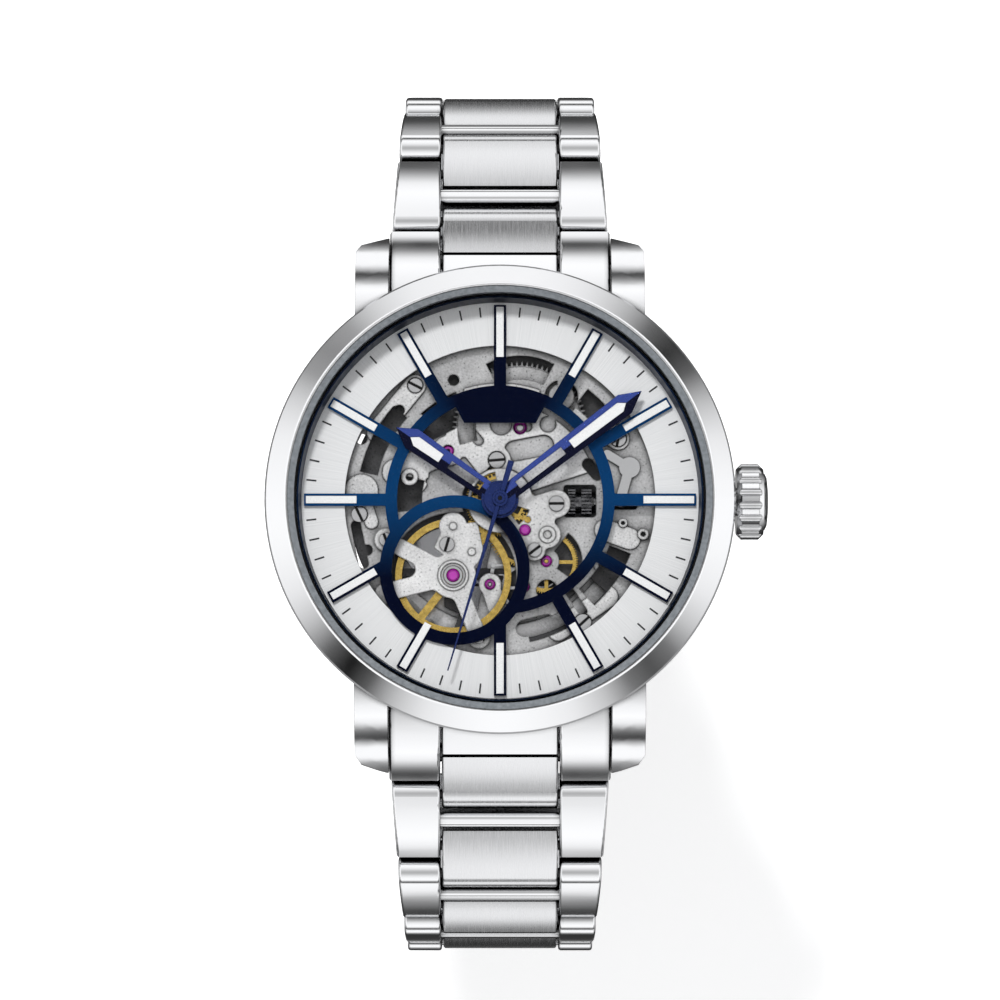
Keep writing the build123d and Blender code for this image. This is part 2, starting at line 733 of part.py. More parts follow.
def third_wheel():
    body = wheel(THIRD_TEETH, THIRD_PITCH, THIRD_Z, THIRD, 0, 4, 0.4, 0)
    body = body + pinion(THIRD_PINION, THIRD_PINION_PITCH, (5.14, 5.4), THIRD, THIRD_PINION_PHASE)
    return body + arbor((4.0, 6.25), THIRD)


def fourth_wheel():
    body = wheel(FOURTH_TEETH, FOURTH_PITCH, CENTRE_Z, FOURTH, 0, 4, 0.4, 0)
    body = body + pinion(FOURTH_PINION, FOURTH_PINION_PITCH, (4.47, 4.66), FOURTH, FOURTH_PINION_PHASE)
    return body + arbor((4.0, 6.3), FOURTH)


def seconds_pinion():
    body = pinion(FOURTH_PINION, FOURTH_PINION_PITCH, (4.47, 4.66), (0, 0), SECONDS_PINION_PHASE)
    return body + disc(0.18, (4.3, SECONDS_HAND_Z + 0.12))


def escape_wheel():
    """Fifteen raked club teeth."""
    tip = 2.7
    root = 2.1
    step = 360 / ESCAPE_TEETH
    outline = []
    for i in range(ESCAPE_TEETH):
        angle = step * i
        outline.append(polar(root, angle))
        outline.append(polar(tip - 0.12, angle + 7))
        outline.append(polar(tip, angle + 11))
        outline.append(polar(root + 0.1, angle + 6))
        outline.append(polar(root, angle + 9))
    face = Polygon(*outline, align=None) - crossings(1.8, 0.6, 4, 0.3)
    body = extrude(Pos(ESCAPE[0], ESCAPE[1], ESCAPE_Z[0]) * face, ESCAPE_Z[1] - ESCAPE_Z[0])
    body = body + pinion(ESCAPE_PINION, ESCAPE_PINION_PITCH, (4.9, 5.42), ESCAPE, ESCAPE_PINION_PHASE)
    return body + arbor((4.0, 6.3), ESCAPE, 0.13)


def pallet_fork():
    """Two arms that carry the pallet stones, and a lever with a forked end."""
    towards_balance = direction_of(PALLET, BALANCE)
    towards_escape = direction_of(PALLET, ESCAPE)
    arms = Pos(*PALLET) * Circle(0.42)
    stones = []
    for side in (1, -1):
        knee = polar(1.75, towards_escape + side * 86, PALLET)
        arms = arms + strap(PALLET, knee, 0.36)
        stone_end = polar(1.02, towards_escape + side * 8, knee)
        stone = plate(strap(knee, stone_end, 0.26), (PALLET_Z[1] + 0.01, PALLET_Z[1] + 0.06))
        stones.append(stone + disc(0.24, (PALLET_Z[1] + 0.01, PALLET_Z[1] + 0.07), knee))
    fork_end = polar(2.35, towards_balance, PALLET)
    arms = arms + strap(PALLET, fork_end, 0.3)
    for side in (1, -1):
        horn = polar(2.6, towards_balance + side * 8, PALLET)
        arms = arms + strap(fork_end, horn, 0.16)
    body = plate(arms, PALLET_Z) + arbor((4.0, 5.34), PALLET, 0.14)
    return [body] + stones


def balance_wheel():
    """A heavy rim on two curved arms, with the staff and the roller under it."""
    outer = 5.2
    inner = 4.6
    rim = Circle(outer) - Circle(inner)
    for angle in (52, 232):
        rim = rim + Rot(0, 0, angle) * Pos(2.4, 0) * Rectangle(4.6, 0.7)
    rim = rim + Circle(0.75)
    body = extrude(Pos(BALANCE[0], BALANCE[1], BALANCE_Z[0]) * rim, BALANCE_Z[1] - BALANCE_Z[0])
    body = body + disc(0.9, (5.06, 5.16), BALANCE) + disc(0.42, (5.06, 5.98), BALANCE)
    return body + arbor((4.0, 6.66), BALANCE, 0.14)


def mainspring_barrel():
    face = gear_face(BARREL_TEETH, BARREL_PITCH, BARREL_PHASE)
    place = Pos(BARREL[0], BARREL[1], 0)
    body = place * plate(face, (4.86, 5.1)) + disc(BARREL_PITCH - 0.32, DRUM_Z, BARREL)
    body = body - tube(BARREL_PITCH - 0.62, 0.9, (DRUM_Z[0] + 0.12, DRUM_Z[1] - 0.12), BARREL)
    body = body - disc(0.53, (4, 6), BARREL)
    grooves = tube(4.2, 4.0, (DRUM_Z[1] - 0.03, DRUM_Z[1] + 1), BARREL)
    return body - grooves


def ratchet_wheel():
    face = gear_face(RATCHET_TEETH, 4.3, 0) - Pos(0, 0) * Rectangle(0.9, 0.9)
    body = plate(face, RATCHET_Z)
    body = body + plate(Rectangle(0.86, 0.86), (RATCHET_Z[0] - 0.05, RATCHET_Z[1]))
    body = body + disc(0.5, (RATCHET_Z[1] - 0.02, 5.6))
    body = body + disc(0.27, (5.5, 6.3))
    return Pos(BARREL[0], BARREL[1], 0) * body


def hour_wheel():
    body = wheel(HOUR_TEETH, HOUR_PITCH, HOUR_WHEEL_Z, (0, 0), 0, 4, 0.4, HOUR_BORE_R)
    body = body + disc(HOUR_TUBE_R, (HOUR_WHEEL_Z[0], HOUR_HAND_Z + 0.3))
    return body - disc(HOUR_BORE_R, (6, 9))


def minute_wheel():
    body = wheel(MINUTE_TEETH, MINUTE_PITCH, MINUTE_WHEEL_Z, MINUTE, MINUTE_PHASE, 4, 0.4, 0)
    body = body + pinion(MINUTE_PINION, MINUTE_PINION_PITCH, (6.46, 6.7), MINUTE, MINUTE_PINION_PHASE)
    return body + arbor((5.85, 6.95), MINUTE, 0.26)


def rotor():
    """A pierced half disc with a heavy rim, on a bearing at the centre."""
    web_z = (ROTOR_Z[0] + 0.35, ROTOR_Z[0] + 0.65)
    web = sector(12.2, 1.2, 184, 356) + Circle(2.6)
    web = web - sector(9.8, 3.6, 200, 258) - sector(9.8, 3.6, 282, 340)
    rim = sector(13.3, 11.0, 182, 358)
    body = plate(web, web_z) - disc(1.22, (2, 4))
    rim_body = plate(rim, ROTOR_Z) - plate(sector(12.25, 10.9, 178, 362), (web_z[0] - 0.02, web_z[1] + 0.02))
    hub = tube(2.2, 1.22, (web_z[0] - 0.1, web_z[1] + 0.15))
    return [body + hub, rim_body]


# ---- hands ----


def roof(half_width, low, high, reach):
    """A long prism with a ridge, which gives a hand its two facets."""
    section = Polygon(
        (-half_width, 0), (half_width, 0), (half_width, low), (0, high), (-half_width, low), align=None
    )
    return extrude(Plane.XZ.offset(reach) * section, -2 * reach)


def baton_hand(length, shoulder, hub_r, bore, slot, lume, z, angle):
    """A faceted baton with a pointed tip, an open slot and a lume window."""
    outline = Polygon(
        (-0.8, 0.6), (0.8, 0.6), (1.02, shoulder), (0, length), (-1.02, shoulder), align=None
    )
    window = Polygon(
        (-0.42, lume[0]),
        (0.42, lume[0]),
        (0.48, lume[1] - 0.5),
        (0, lume[1] + 0.15),
        (-0.48, lume[1] - 0.5),
        align=None,
    )
    hollow = Pos(0, (slot[0] + slot[1]) / 2) * Rectangle(0.75, slot[1] - slot[0])
    blade = plate(outline - hollow - window, (0, 0.4)) & roof(1.1, 0.1, 0.34, length + 1)
    body = blade + disc(hub_r, (0, 0.24)) - disc(bore, (-1, 1))
    insert = plate(offset(window, -0.02), (0.04, 0.26))
    place = Pos(0, 0, z) * Rot(0, 0, -angle)
    return [place * body, place * insert]


def hour_hand():
    return baton_hand(11.3, 9.6, 1.68, HOUR_TUBE_R + 0.01, (2.0, 5.45), (6.4, 9.6), HOUR_HAND_Z, HOUR_ANGLE)


def minute_hand():
    return baton_hand(15.9, 14.0, 1.45, 0.57, (2.0, 7.1), (8.0, 14.0), MINUTE_HAND_Z, MINUTE_ANGLE)


def seconds_hand():
    tail = 3.5
    tip = 16.05
    outline = Polygon(
        (-0.28, -tail), (0.28, -tail), (0.2, 0), (0.06, tip), (-0.06, tip), (-0.2, 0), align=None
    )
    body = plate(outline, (0, 0.14)) + disc(0.72, (0, 0.2)) + disc(0.46, (0.19, 0.3))
    body = body - disc(0.19, (-1, 1))
    return Pos(0, 0, SECONDS_HAND_Z) * Rot(0, 0, -SECONDS_ANGLE) * body


# ---- keyless works ----


def toothed_drum(x0, x1, radius, teeth):
    """A drum along X with straight teeth cut round it."""
    face = gear_face(teeth, radius * 0.9, 0, tip=0.9, root=1.1, share=0.5)
    return extrude(Plane.YZ.offset(x0) * Pos(0, STEM_Z) * face, x1 - x0)


def sliding_pinion():
    body = toothed_drum(6.1, 6.75, CLUTCH_R, 16)
    body = body + rod_x(0.8, 6.7, 7.4, 0, STEM_Z)
    body = body + toothed_drum(7.3, 8.2, CLUTCH_R, 16)
    bore = Plane.YZ.offset(5) * Pos(0, STEM_Z) * Rectangle(0.8, 0.8)
    return body - extrude(bore, 5)


def winding_stem():
    square = extrude(Plane.YZ.offset(5.9) * Pos(0, STEM_Z) * Rectangle(0.74, 0.74), 2.6)
    body = square + rod_x(STEM_R, 8.4, 15.0, 0, STEM_Z)
    body = body + rod_x(0.5, 14.9, 23.0, 0, STEM_Z)
    groove = rod_x(1.0, GROOVE_X[0], GROOVE_X[1], 0, STEM_Z) - rod_x(0.34, 10, 12, 0, STEM_Z)
    return body - groove


def crown():
    """A fluted drum with a domed end cap and a bore that covers the tube."""
    body = rod_x(CROWN_R, CROWN_START, CROWN_END, 0, STEM_Z)
    for i in range(CROWN_FLUTES):
        angle = 360 * i / CROWN_FLUTES
        y, z = polar(CROWN_R + 0.12, angle)
        body = body - rod_x(0.36, CROWN_START - 1, CROWN_END + 1, y, z + STEM_Z)
    bevel = 0.45
    envelope = revolve(
        Plane.XZ
        * Polygon(
            (CROWN_START, 0),
            (CROWN_START, CROWN_R - bevel),
            (CROWN_START + bevel, CROWN_R),
            (CROWN_END - bevel, CROWN_R),
            (CROWN_END, CROWN_R - bevel),
            (CROWN_END, 0),
            align=None,
        ),
        Axis.X,
    )
    body = body & (Pos(0, 0, STEM_Z) * envelope)
    cap = revolve(
        Plane.XZ
        * Polygon(
            (CROWN_END - 0.1, 0),
            (CROWN_END - 0.1, 2.55),
            (CROWN_END + 0.12, 2.55),
            (CROWN_END + 0.3, 2.2),
            (CROWN_END + 0.42, 1.2),
            (CROWN_END + 0.45, 0),
            align=None,
        ),
        Axis.X,
    )
    body = body + Pos(0, 0, STEM_Z) * cap
    body = body - rod_x(1.35, CROWN_START - 1, 22.55, 0, STEM_Z)
    return body - rod_x(0.52, 22, 23.02, 0, STEM_Z)


def setting_lever():
    """A lever whose pin sits in the groove of the stem."""
    middle = ((GROOVE_X[0] + GROOVE_X[1]) / 2, 0)
    outline = strap(SETTING_PIVOT, middle, 0.9) + Pos(*SETTING_PIVOT) * Circle(0.95)
    outline = outline + strap(SETTING_PIVOT, (9.6, 4.2), 0.8) + Pos(*middle) * Circle(0.6)
    body = plate(outline, (PLATE_Z[1] + 0.06, PLATE_Z[1] + 0.3))
    body = body + disc(0.22, (PLATE_Z[0] + 0.25, PLATE_Z[1] + 0.1), SETTING_PIVOT)
    return body + disc(0.24, (STEM_Z + 0.4, PLATE_Z[1] + 0.1), middle)


# ---- bracelet ----


def rounded_sides(block):
    """Round the edges that outline the two side faces of a block drawn along Y."""
    outlines = [edge for edge in block.edges() if abs(edge.tangent_at(0.5).X) < 0.5]
    return fillet(outlines, EDGE_R)


def pin_places():
    """The hinge pins of one side, as (y, z), from the end link to the clasp."""
    places = [FIRST_PIN]
    for tilt in LINK_TILTS:
        y, z = places[-1]
        places.append((y + LINK_PITCH * cos(radians(tilt)), z - LINK_PITCH * sin(radians(tilt))))
    return places


def centre_piece(start, end):
    """The brushed middle piece: it ends in a round knuckle about the next pin."""
    top = KNUCKLE_R
    fall = 0.33
    bevel = 0.3
    slope = radians(8)
    touch = (end + top * sin(slope), top * cos(slope))
    crown_line = TangentArc(touch, (start, top - fall), tangent=(-cos(slope), sin(slope)))
    rest = Polyline((start, top - fall), (start, bevel - top), (start + bevel, -top), (end, -top), touch)
    profile = make_face(crown_line + rest) + Pos(end, 0) * Circle(KNUCKLE_R)
    piece = rounded_sides(profile_x(profile, CENTRE_WIDTH / 2 - SIDE_GAP))
    return piece - rod_x(PIN_R + 0.02, -20, 20, end, 0)


def link_block_profile(length):
    """The side outline of an outer block: round about its own pin, blunt at the far end."""
    end = length - LINK_T - END_GAP
    bevel = 0.35
    fall = 0.5
    slope = radians(6)
    touch = (-LINK_T * sin(slope), LINK_T * cos(slope))
    outer_line = TangentArc(touch, (end, LINK_T - fall), tangent=(cos(slope), sin(slope)))
    rest = Polyline(
        touch, (0, -LINK_T), (end - bevel, -LINK_T), (end, -LINK_T + bevel), (end, LINK_T - fall)
    )
    return make_face(outer_line + rest) + Circle(LINK_T)


def link(index, end_pin_half):
    """One link: the polished H piece, the brushed centre piece and their two pins."""
    near = LINK_WIDTHS[index] / 2
    far = LINK_WIDTHS[index + 1] / 2
    slot_half = CENTRE_WIDTH / 2 + FIT
    back = -LINK_T - 0.1
    plan = Polygon((slot_half, back), (near, back), (far, LINK_PITCH), (slot_half, LINK_PITCH), align=None)
    block = rounded_sides(profile_x(link_block_profile(LINK_PITCH), near + 1) & plate(plan, (-3, 3)))
    blocks = block + mirror(block, Plane.YZ)
    bar_profile = Pos(BAR_START + BAR_LENGTH / 2, 0) * RectangleRounded(BAR_LENGTH, 2 * KNUCKLE_R, 0.55)
    h_piece = blocks + profile_x(bar_profile, slot_half + 0.3)
    fixed_pin_y = BAR_START + BAR_LENGTH + 1.9
    h_piece = h_piece - rod_x(PIN_HOLE_R, -20, 20, 0, 0)
    h_piece = h_piece - rod_x(PIN_R + 0.02, -near + 1, near - 1, fixed_pin_y, 0)
    centre = centre_piece(BAR_START + BAR_LENGTH + PIECE_GAP, LINK_PITCH)
    centre = centre - rod_x(PIN_R + 0.02, -20, 20, fixed_pin_y, 0)
    hinge_pin = rod_x(PIN_R, -end_pin_half, end_pin_half, LINK_PITCH, 0)
    fixed_pin = rod_x(PIN_R, -near + 1.2, near - 1.2, fixed_pin_y, 0)
    return [h_piece, centre, hinge_pin, fixed_pin]


def on_side(shape, place, tilt, lower):
    """Put a shape drawn along +Y on the upper or the lower strand."""
    placed = Pos(0, place[0], place[1]) * Rot(-tilt, 0, 0) * shape
    return Rot(0, 0, 180) * placed if lower else placed


def strand(lower):
    pins = pin_places()
    side = "lower" if lower else "upper"
    for i, tilt in enumerate(LINK_TILTS):
        last = i == len(LINK_TILTS) - 1
        if last:
            pin_half = CENTRE_WIDTH / 2 - 0.1 if lower else 6.8
        else:
            pin_half = LINK_WIDTHS[i + 1] / 2 - 0.25
        pieces = [on_side(s, pins[i], tilt, lower) for s in link(i, pin_half)]
        save_group(pieces, f"{side}_link_{i + 1}")


def end_link_profile(end, top):
    """The side outline of an end link, from under the case to its hinge end."""
    back = -9.5
    outer_line = ThreePointArc((end, top - 0.25), (-4.0, top + 0.25), (back, top - 0.5))
    rest = Polyline((back, top - 0.5), (back, -top), (end, -top), (end, top - 0.25))
    return make_face(outer_line + rest)


def end_link_block():
    """An outer block of the end link, on the right-hand side."""
    inner = CENTRE_WIDTH / 2 + FIT
    outer = LUG_GAP / 2 - FIT
    slab = profile_x(end_link_profile(-LINK_T - END_GAP, LINK_T), outer)
    return rounded_sides(slab & Pos((inner + outer) / 2, 0, 0) * Box(outer - inner, 40, 20))


def end_link_centre():
    """The polished neck next to the case and the brushed piece that turns about the first pin."""
    joint_y = -4.1
    half = CENTRE_WIDTH / 2 - SIDE_GAP
    outline = end_link_profile(0, KNUCKLE_R) + Circle(KNUCKLE_R)
    behind = Pos(joint_y - PIECE_GAP - 10, 0) * Rectangle(20, 20)
    ahead = Pos(joint_y + 10, 0) * Rectangle(20, 20)
    neck = rounded_sides(profile_x(outline & behind, half))
    brushed = rounded_sides(profile_x(outline & ahead, half))
    return neck, brushed


def end_links():
    """The solid pieces between the lugs, one at each end of the case."""
    near_case = disc(CASE_R + FIT, (-10, 20))
    bar_y, bar_z = end_link_bar()
    bodies = []
    bar_hole = rod_x(0.9, -20, 20, bar_y, bar_z)
    pin_hole = rod_x(PIN_R + 0.02, -20, 20, *FIRST_PIN)
    block = end_link_block()
    pieces = [block, mirror(block, Plane.YZ), *end_link_centre()]
    for lower in (False, True):
        for piece in pieces:
            placed = Pos(0, *FIRST_PIN) * Rot(-END_LINK_TILT, 0, 0) * piece
            placed = placed - near_case - bar_hole - pin_hole
            bodies.append(Rot(0, 0, 180 if lower else 0) * placed)
        pin = rod_x(PIN_R, -LINK_WIDTHS[0] / 2 + 0.25, LINK_WIDTHS[0] / 2 - 0.25, *FIRST_PIN)
        bodies.append(Rot(0, 0, 180 if lower else 0) * pin)
    return bodies


def spring_bars():
    bar_y, bar_z = end_link_bar()
    bar = rod_x(0.85, -9.8, 9.8, bar_y, bar_z) + rod_x(0.4, -11.9, 11.9, bar_y, bar_z)
    return [bar, Rot(0, 0, 180) * bar]


# ---- clasp ----


def clasp_centre():
    """The axis about which the clasp leaves are curved, as (y, z)."""
    y, z = pin_places()[-1]
    return 0.0, z + sqrt(CLASP_RADIUS**2 - y**2)


def clasp_point(radius, angle):
    """A (y, z) point on the clasp curve; the angle grows from its lowest point towards 12 o'clock."""
    y, z = clasp_centre()
    return y + radius * sin(radians(angle)), z - radius * cos(radians(angle))


def leaf(radius, thickness, start, end, half_width):
    """A curved plate of the clasp."""
    face = sector(radius + thickness, radius, start - 90, end - 90, clasp_centre())
    return profile_x(face, half_width)


INNER_R = CLASP_RADIUS - BLADE_T / 2
MIDDLE_R = INNER_R + BLADE_T + 0.1
COVER_R = CLASP_RADIUS + 2.7
COVER_T = 1.1
KNUCKLE = 0.9
FAR_HINGE = clasp_point(CLASP_RADIUS + 0.5, -CLASP_HINGE_ANGLE)
NEAR_HINGE = clasp_point(CLASP_RADIUS + 1.6, CLASP_HINGE_ANGLE)
BLADE_END = CLASP_HINGE_ANGLE - 1.1
HINGE_PIN_R = 0.4
COVER_END_ANGLE = degrees(asin(pin_places()[-1][0] / CLASP_RADIUS)) - 1.6
# the free end of the cover is cut square, just clear of the last link's knuckle
COVER_FREE_END = pin_places()[-1][0] - LINK_T - 0.3


def barrel(place, x0, x1):
    return rod_x(KNUCKLE, x0, x1, *place)


def both_sides(shape):
    return shape + mirror(shape, Plane.YZ)


def clasp_blade_inner():
    """The leaf next to the wrist, with ears on the last pin of the upper strand."""
    last_pin = pin_places()[-1]
    pin_angle = degrees(asin(last_pin[0] / CLASP_RADIUS))
    body = leaf(INNER_R, BLADE_T, -BLADE_END, pin_angle - 2.0, BLADE_HALF_WIDTH)
    ears = leaf(INNER_R, BLADE_T, pin_angle - 3.6, pin_angle, 6.9) + rod_x(1.15, -6.9, 6.9, *last_pin)
    ears = ears - Pos(0, last_pin[0], last_pin[1]) * Box(CENTRE_WIDTH + 0.16, 3.2, 6)
    body = body + ears
    tongue = leaf(INNER_R, BLADE_T, -CLASP_HINGE_ANGLE, -BLADE_END + 0.1, 2.15)
    body = body + tongue + barrel(FAR_HINGE, -2.15, 2.15)
    body = body - rod_x(HINGE_PIN_R + FIT, -3, 3, *FAR_HINGE)
    return body - rod_x(PIN_R + FIT, -8, 8, *last_pin)


def clasp_blade_middle():
    body = leaf(MIDDLE_R, BLADE_T, -BLADE_END, BLADE_END, BLADE_HALF_WIDTH)
    for angle in (-8, 0, 8):
        y, z = clasp_point(MIDDLE_R, angle)
        body = body - Pos(0, y, z) * Rot(angle, 0, 0) * Box(5.2, 4.4, 6)
    far_arm = leaf(MIDDLE_R, BLADE_T, -CLASP_HINGE_ANGLE, -BLADE_END + 0.1, BLADE_HALF_WIDTH)
    far_arm = far_arm + barrel(FAR_HINGE, -BLADE_HALF_WIDTH, BLADE_HALF_WIDTH)
    far_arm = far_arm - Pos(0, *FAR_HINGE) * Box(4.5, 3, 5)
    near_arm = leaf(MIDDLE_R, BLADE_T, BLADE_END - 0.1, CLASP_HINGE_ANGLE, 2.15)
    body = body + far_arm + near_arm + barrel(NEAR_HINGE, -2.15, 2.15)
    body = body - rod_x(HINGE_PIN_R + FIT, -3, 3, *NEAR_HINGE)
    body = body - rod_x(HINGE_PIN_R, -6, 6, *FAR_HINGE)
    pin = rod_x(HINGE_PIN_R - 0.01, -BLADE_HALF_WIDTH, BLADE_HALF_WIDTH, *FAR_HINGE)
    return [body, pin]


def clasp_cover():
    """The outer shell: a curved plate with side walls, hinged to the middle blade."""
    reach = 23.0
    body = leaf(COVER_R, COVER_T, -reach, COVER_END_ANGLE, COVER_OUTER_HALF)
    walls = leaf(INNER_R - 0.2, COVER_R - INNER_R + 0.4, -reach, COVER_END_ANGLE, COVER_OUTER_HALF)
    walls = walls - leaf(INNER_R - 2, 10, -reach - 5, reach + 5, COVER_INNER_HALF)
    past_last_link = Pos(0, -COVER_FREE_END - 10, NEAR_HINGE[1]) * Box(30, 20, 30)
    body = body + walls - past_last_link
    y, z = NEAR_HINGE
    ears = barrel(NEAR_HINGE, -BLADE_HALF_WIDTH, BLADE_HALF_WIDTH)
    lift = leaf(CLASP_RADIUS + 1.6, 1.3, CLASP_HINGE_ANGLE - 0.85, CLASP_HINGE_ANGLE + 0.85, BLADE_HALF_WIDTH)
    ears = ears + lift
    ears = ears - Pos(0, y, z) * Box(4.5, 4, 2.1 * KNUCKLE + 0.1)
    body = body + ears
    body = body - rod_x(HINGE_PIN_R, -6, 6, *NEAR_HINGE)
    for side in (1, -1):
        body = body - button_hole(side)
    pin = rod_x(HINGE_PIN_R - 0.01, -BLADE_HALF_WIDTH, BLADE_HALF_WIDTH, *NEAR_HINGE)
    return [body, pin]


def button_shape(side, inner, outer, clearance):
    y, z = clasp_point(CLASP_RADIUS + 1.1, BUTTON_ANGLE)
    face = RectangleRounded(4.4 + 2 * clearance, 1.7 + 2 * clearance, 0.5)
    bar = extrude(Plane.YZ.offset(inner) * face, outer - inner)
    placed = Pos(0, y, z) * Rot(BUTTON_ANGLE, 0, 0) * bar
    return placed if side > 0 else mirror(placed, Plane.YZ)


def button_hole(side):
    return button_shape(side, COVER_INNER_HALF - 1, COVER_OUTER_HALF + 1, 0.06)


def clasp_button(side):
    """A push button through one side wall, kept in by a collar inside."""
    stem = button_shape(side, COVER_INNER_HALF - 0.9, COVER_OUTER_HALF + 0.8, 0)
    return stem + button_shape(side, COVER_INNER_HALF - 0.9, COVER_INNER_HALF - 0.1, 0.25)


# ---- write every piece ----

os.makedirs("parts", exist_ok=True)

SINGLE = [
    mid_case,
    bezel,
    crystal,
    rehaut_ring,
    case_back,
    case_back_glass,
    crown_tube,
    movement_ring,
    dial_ring,
    dial_frame,
    main_plate,
    train_bridge,
    balance_bridge,
    pallet_bridge,
    motion_works_cover,
    centre_wheel,
    third_wheel,
    fourth_wheel,
    seconds_pinion,
    escape_wheel,
    balance_wheel,
    mainspring_barrel,
    ratchet_wheel,
    hour_wheel,
    minute_wheel,
    seconds_hand,
    sliding_pinion,
    winding_stem,
    crown,
    setting_lever,
    clasp_blade_inner,
]
GROUPS = [
    gaskets,
    hour_markers,
    plate_jewels,
    plate_screws,
    hairspring,
    pallet_fork,
    rotor,
    hour_hand,
    minute_hand,
    end_links,
    spring_bars,
    clasp_blade_middle,
    clasp_cover,
]
for make in SINGLE:
    save_group([make()], make.__name__)
for make in GROUPS:
    save_group(make(), make.__name__)
save_group([clasp_button(1)], "clasp_button_right")
save_group([clasp_button(-1)], "clasp_button_left")
strand(lower=False)
strand(lower=True)
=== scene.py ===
import json
import math

import bmesh
import bpy
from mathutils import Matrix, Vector


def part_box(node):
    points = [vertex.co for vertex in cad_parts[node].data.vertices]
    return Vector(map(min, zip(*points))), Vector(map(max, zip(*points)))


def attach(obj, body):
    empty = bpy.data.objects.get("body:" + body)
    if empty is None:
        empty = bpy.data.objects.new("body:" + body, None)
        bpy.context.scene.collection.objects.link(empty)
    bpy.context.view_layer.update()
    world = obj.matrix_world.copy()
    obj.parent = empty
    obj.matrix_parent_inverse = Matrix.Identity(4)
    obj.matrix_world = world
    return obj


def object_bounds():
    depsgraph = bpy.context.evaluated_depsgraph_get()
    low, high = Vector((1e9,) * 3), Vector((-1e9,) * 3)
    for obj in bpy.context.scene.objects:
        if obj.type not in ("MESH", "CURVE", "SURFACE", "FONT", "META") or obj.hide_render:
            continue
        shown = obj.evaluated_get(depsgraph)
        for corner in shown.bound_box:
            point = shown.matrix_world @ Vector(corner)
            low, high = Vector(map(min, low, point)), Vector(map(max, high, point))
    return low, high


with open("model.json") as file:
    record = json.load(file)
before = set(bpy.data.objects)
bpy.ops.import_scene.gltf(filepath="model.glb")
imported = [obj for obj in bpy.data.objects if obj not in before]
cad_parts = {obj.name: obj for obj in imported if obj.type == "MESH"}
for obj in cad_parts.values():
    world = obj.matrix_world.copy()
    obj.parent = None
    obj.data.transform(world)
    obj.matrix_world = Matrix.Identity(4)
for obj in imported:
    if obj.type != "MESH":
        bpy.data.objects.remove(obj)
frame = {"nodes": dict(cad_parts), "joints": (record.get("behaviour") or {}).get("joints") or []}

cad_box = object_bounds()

# Looks for the skeleton wristwatch. Everything is in metres, in the frame of the CAD model:
# +Z leaves the dial, +Y points to 12 o'clock, +X to the crown, and the hands turn about the Z axis.

MM = 0.001
NODES = frame["nodes"]
JOINTS = {joint["name"]: joint for joint in frame["joints"]}
LINKS_PER_SIDE = 7

STEEL = (0.82, 0.825, 0.84)
SATIN_STEEL = (0.74, 0.745, 0.76)
BRASS = (0.86, 0.60, 0.16)

# depth of the relief of a finish
HAIRLINE = 0.004 * MM
FINE_RELIEF = 0.01 * MM
GRAIN_RELIEF = 0.02 * MM
STRIPE_RELIEF = 0.06 * MM


# ---- material helpers ----


def tint(colour, share):
    """A colour made darker or lighter by a share, and kept below full white."""
    return tuple(min(1, c * share) for c in colour)


class Nodes:
    """A node tree with short calls for the nodes that the finishes and the studio use."""

    def __init__(self, tree):
        self.tree = tree

    def node(self, kind, **settings):
        made = self.tree.nodes.new(kind)
        for key, value in settings.items():
            setattr(made, key, value)
        return made

    def link(self, source, target):
        self.tree.links.new(source, target)

    def maths(self, operation, first, second=0.0):
        made = self.node("ShaderNodeMath", operation=operation)
        for socket, value in zip(made.inputs, (first, second)):
            if isinstance(value, (int, float)):
                socket.default_value = value
            else:
                self.link(value, socket)
        return made.outputs[0]

    def ramp(self, factor, *stops):
        made = self.node("ShaderNodeValToRGB")
        points = made.color_ramp.elements
        while len(points) < len(stops):
            points.new(0.5)
        for point, (position, colour) in zip(points, stops):
            point.position = position
            point.color = (*colour, 1)
        self.link(factor, made.inputs["Fac"])
        return made.outputs["Color"]

    def grey_ramp(self, factor, stops):
        return self.ramp(factor, *((position, (grey, grey, grey)) for position, grey in stops))

    def mixed(self, first, second, factor=1.0, blend="MIX"):
        made = self.node("ShaderNodeMix", data_type="RGBA", blend_type=blend)
        if isinstance(factor, float):
            made.inputs["Factor"].default_value = factor
        else:
            self.link(factor, made.inputs["Factor"])
        self.link(first, made.inputs["A"])
        self.link(second, made.inputs["B"])
        return made.outputs["Result"]

    def parts(self, vector):
        """The X, Y and Z of a vector."""
        made = self.node("ShaderNodeSeparateXYZ")
        self.link(vector, made.inputs[0])
        return made.outputs

    def show_shared(self, share, first, second, end):
        """Shows the second surface by a share and the first by the rest."""
        made = self.node("ShaderNodeMixShader")
        for source, socket in zip((share, first, second), made.inputs):
            self.link(source, socket)
        self.link(made.outputs[0], self.tree.nodes[end].inputs["Surface"])


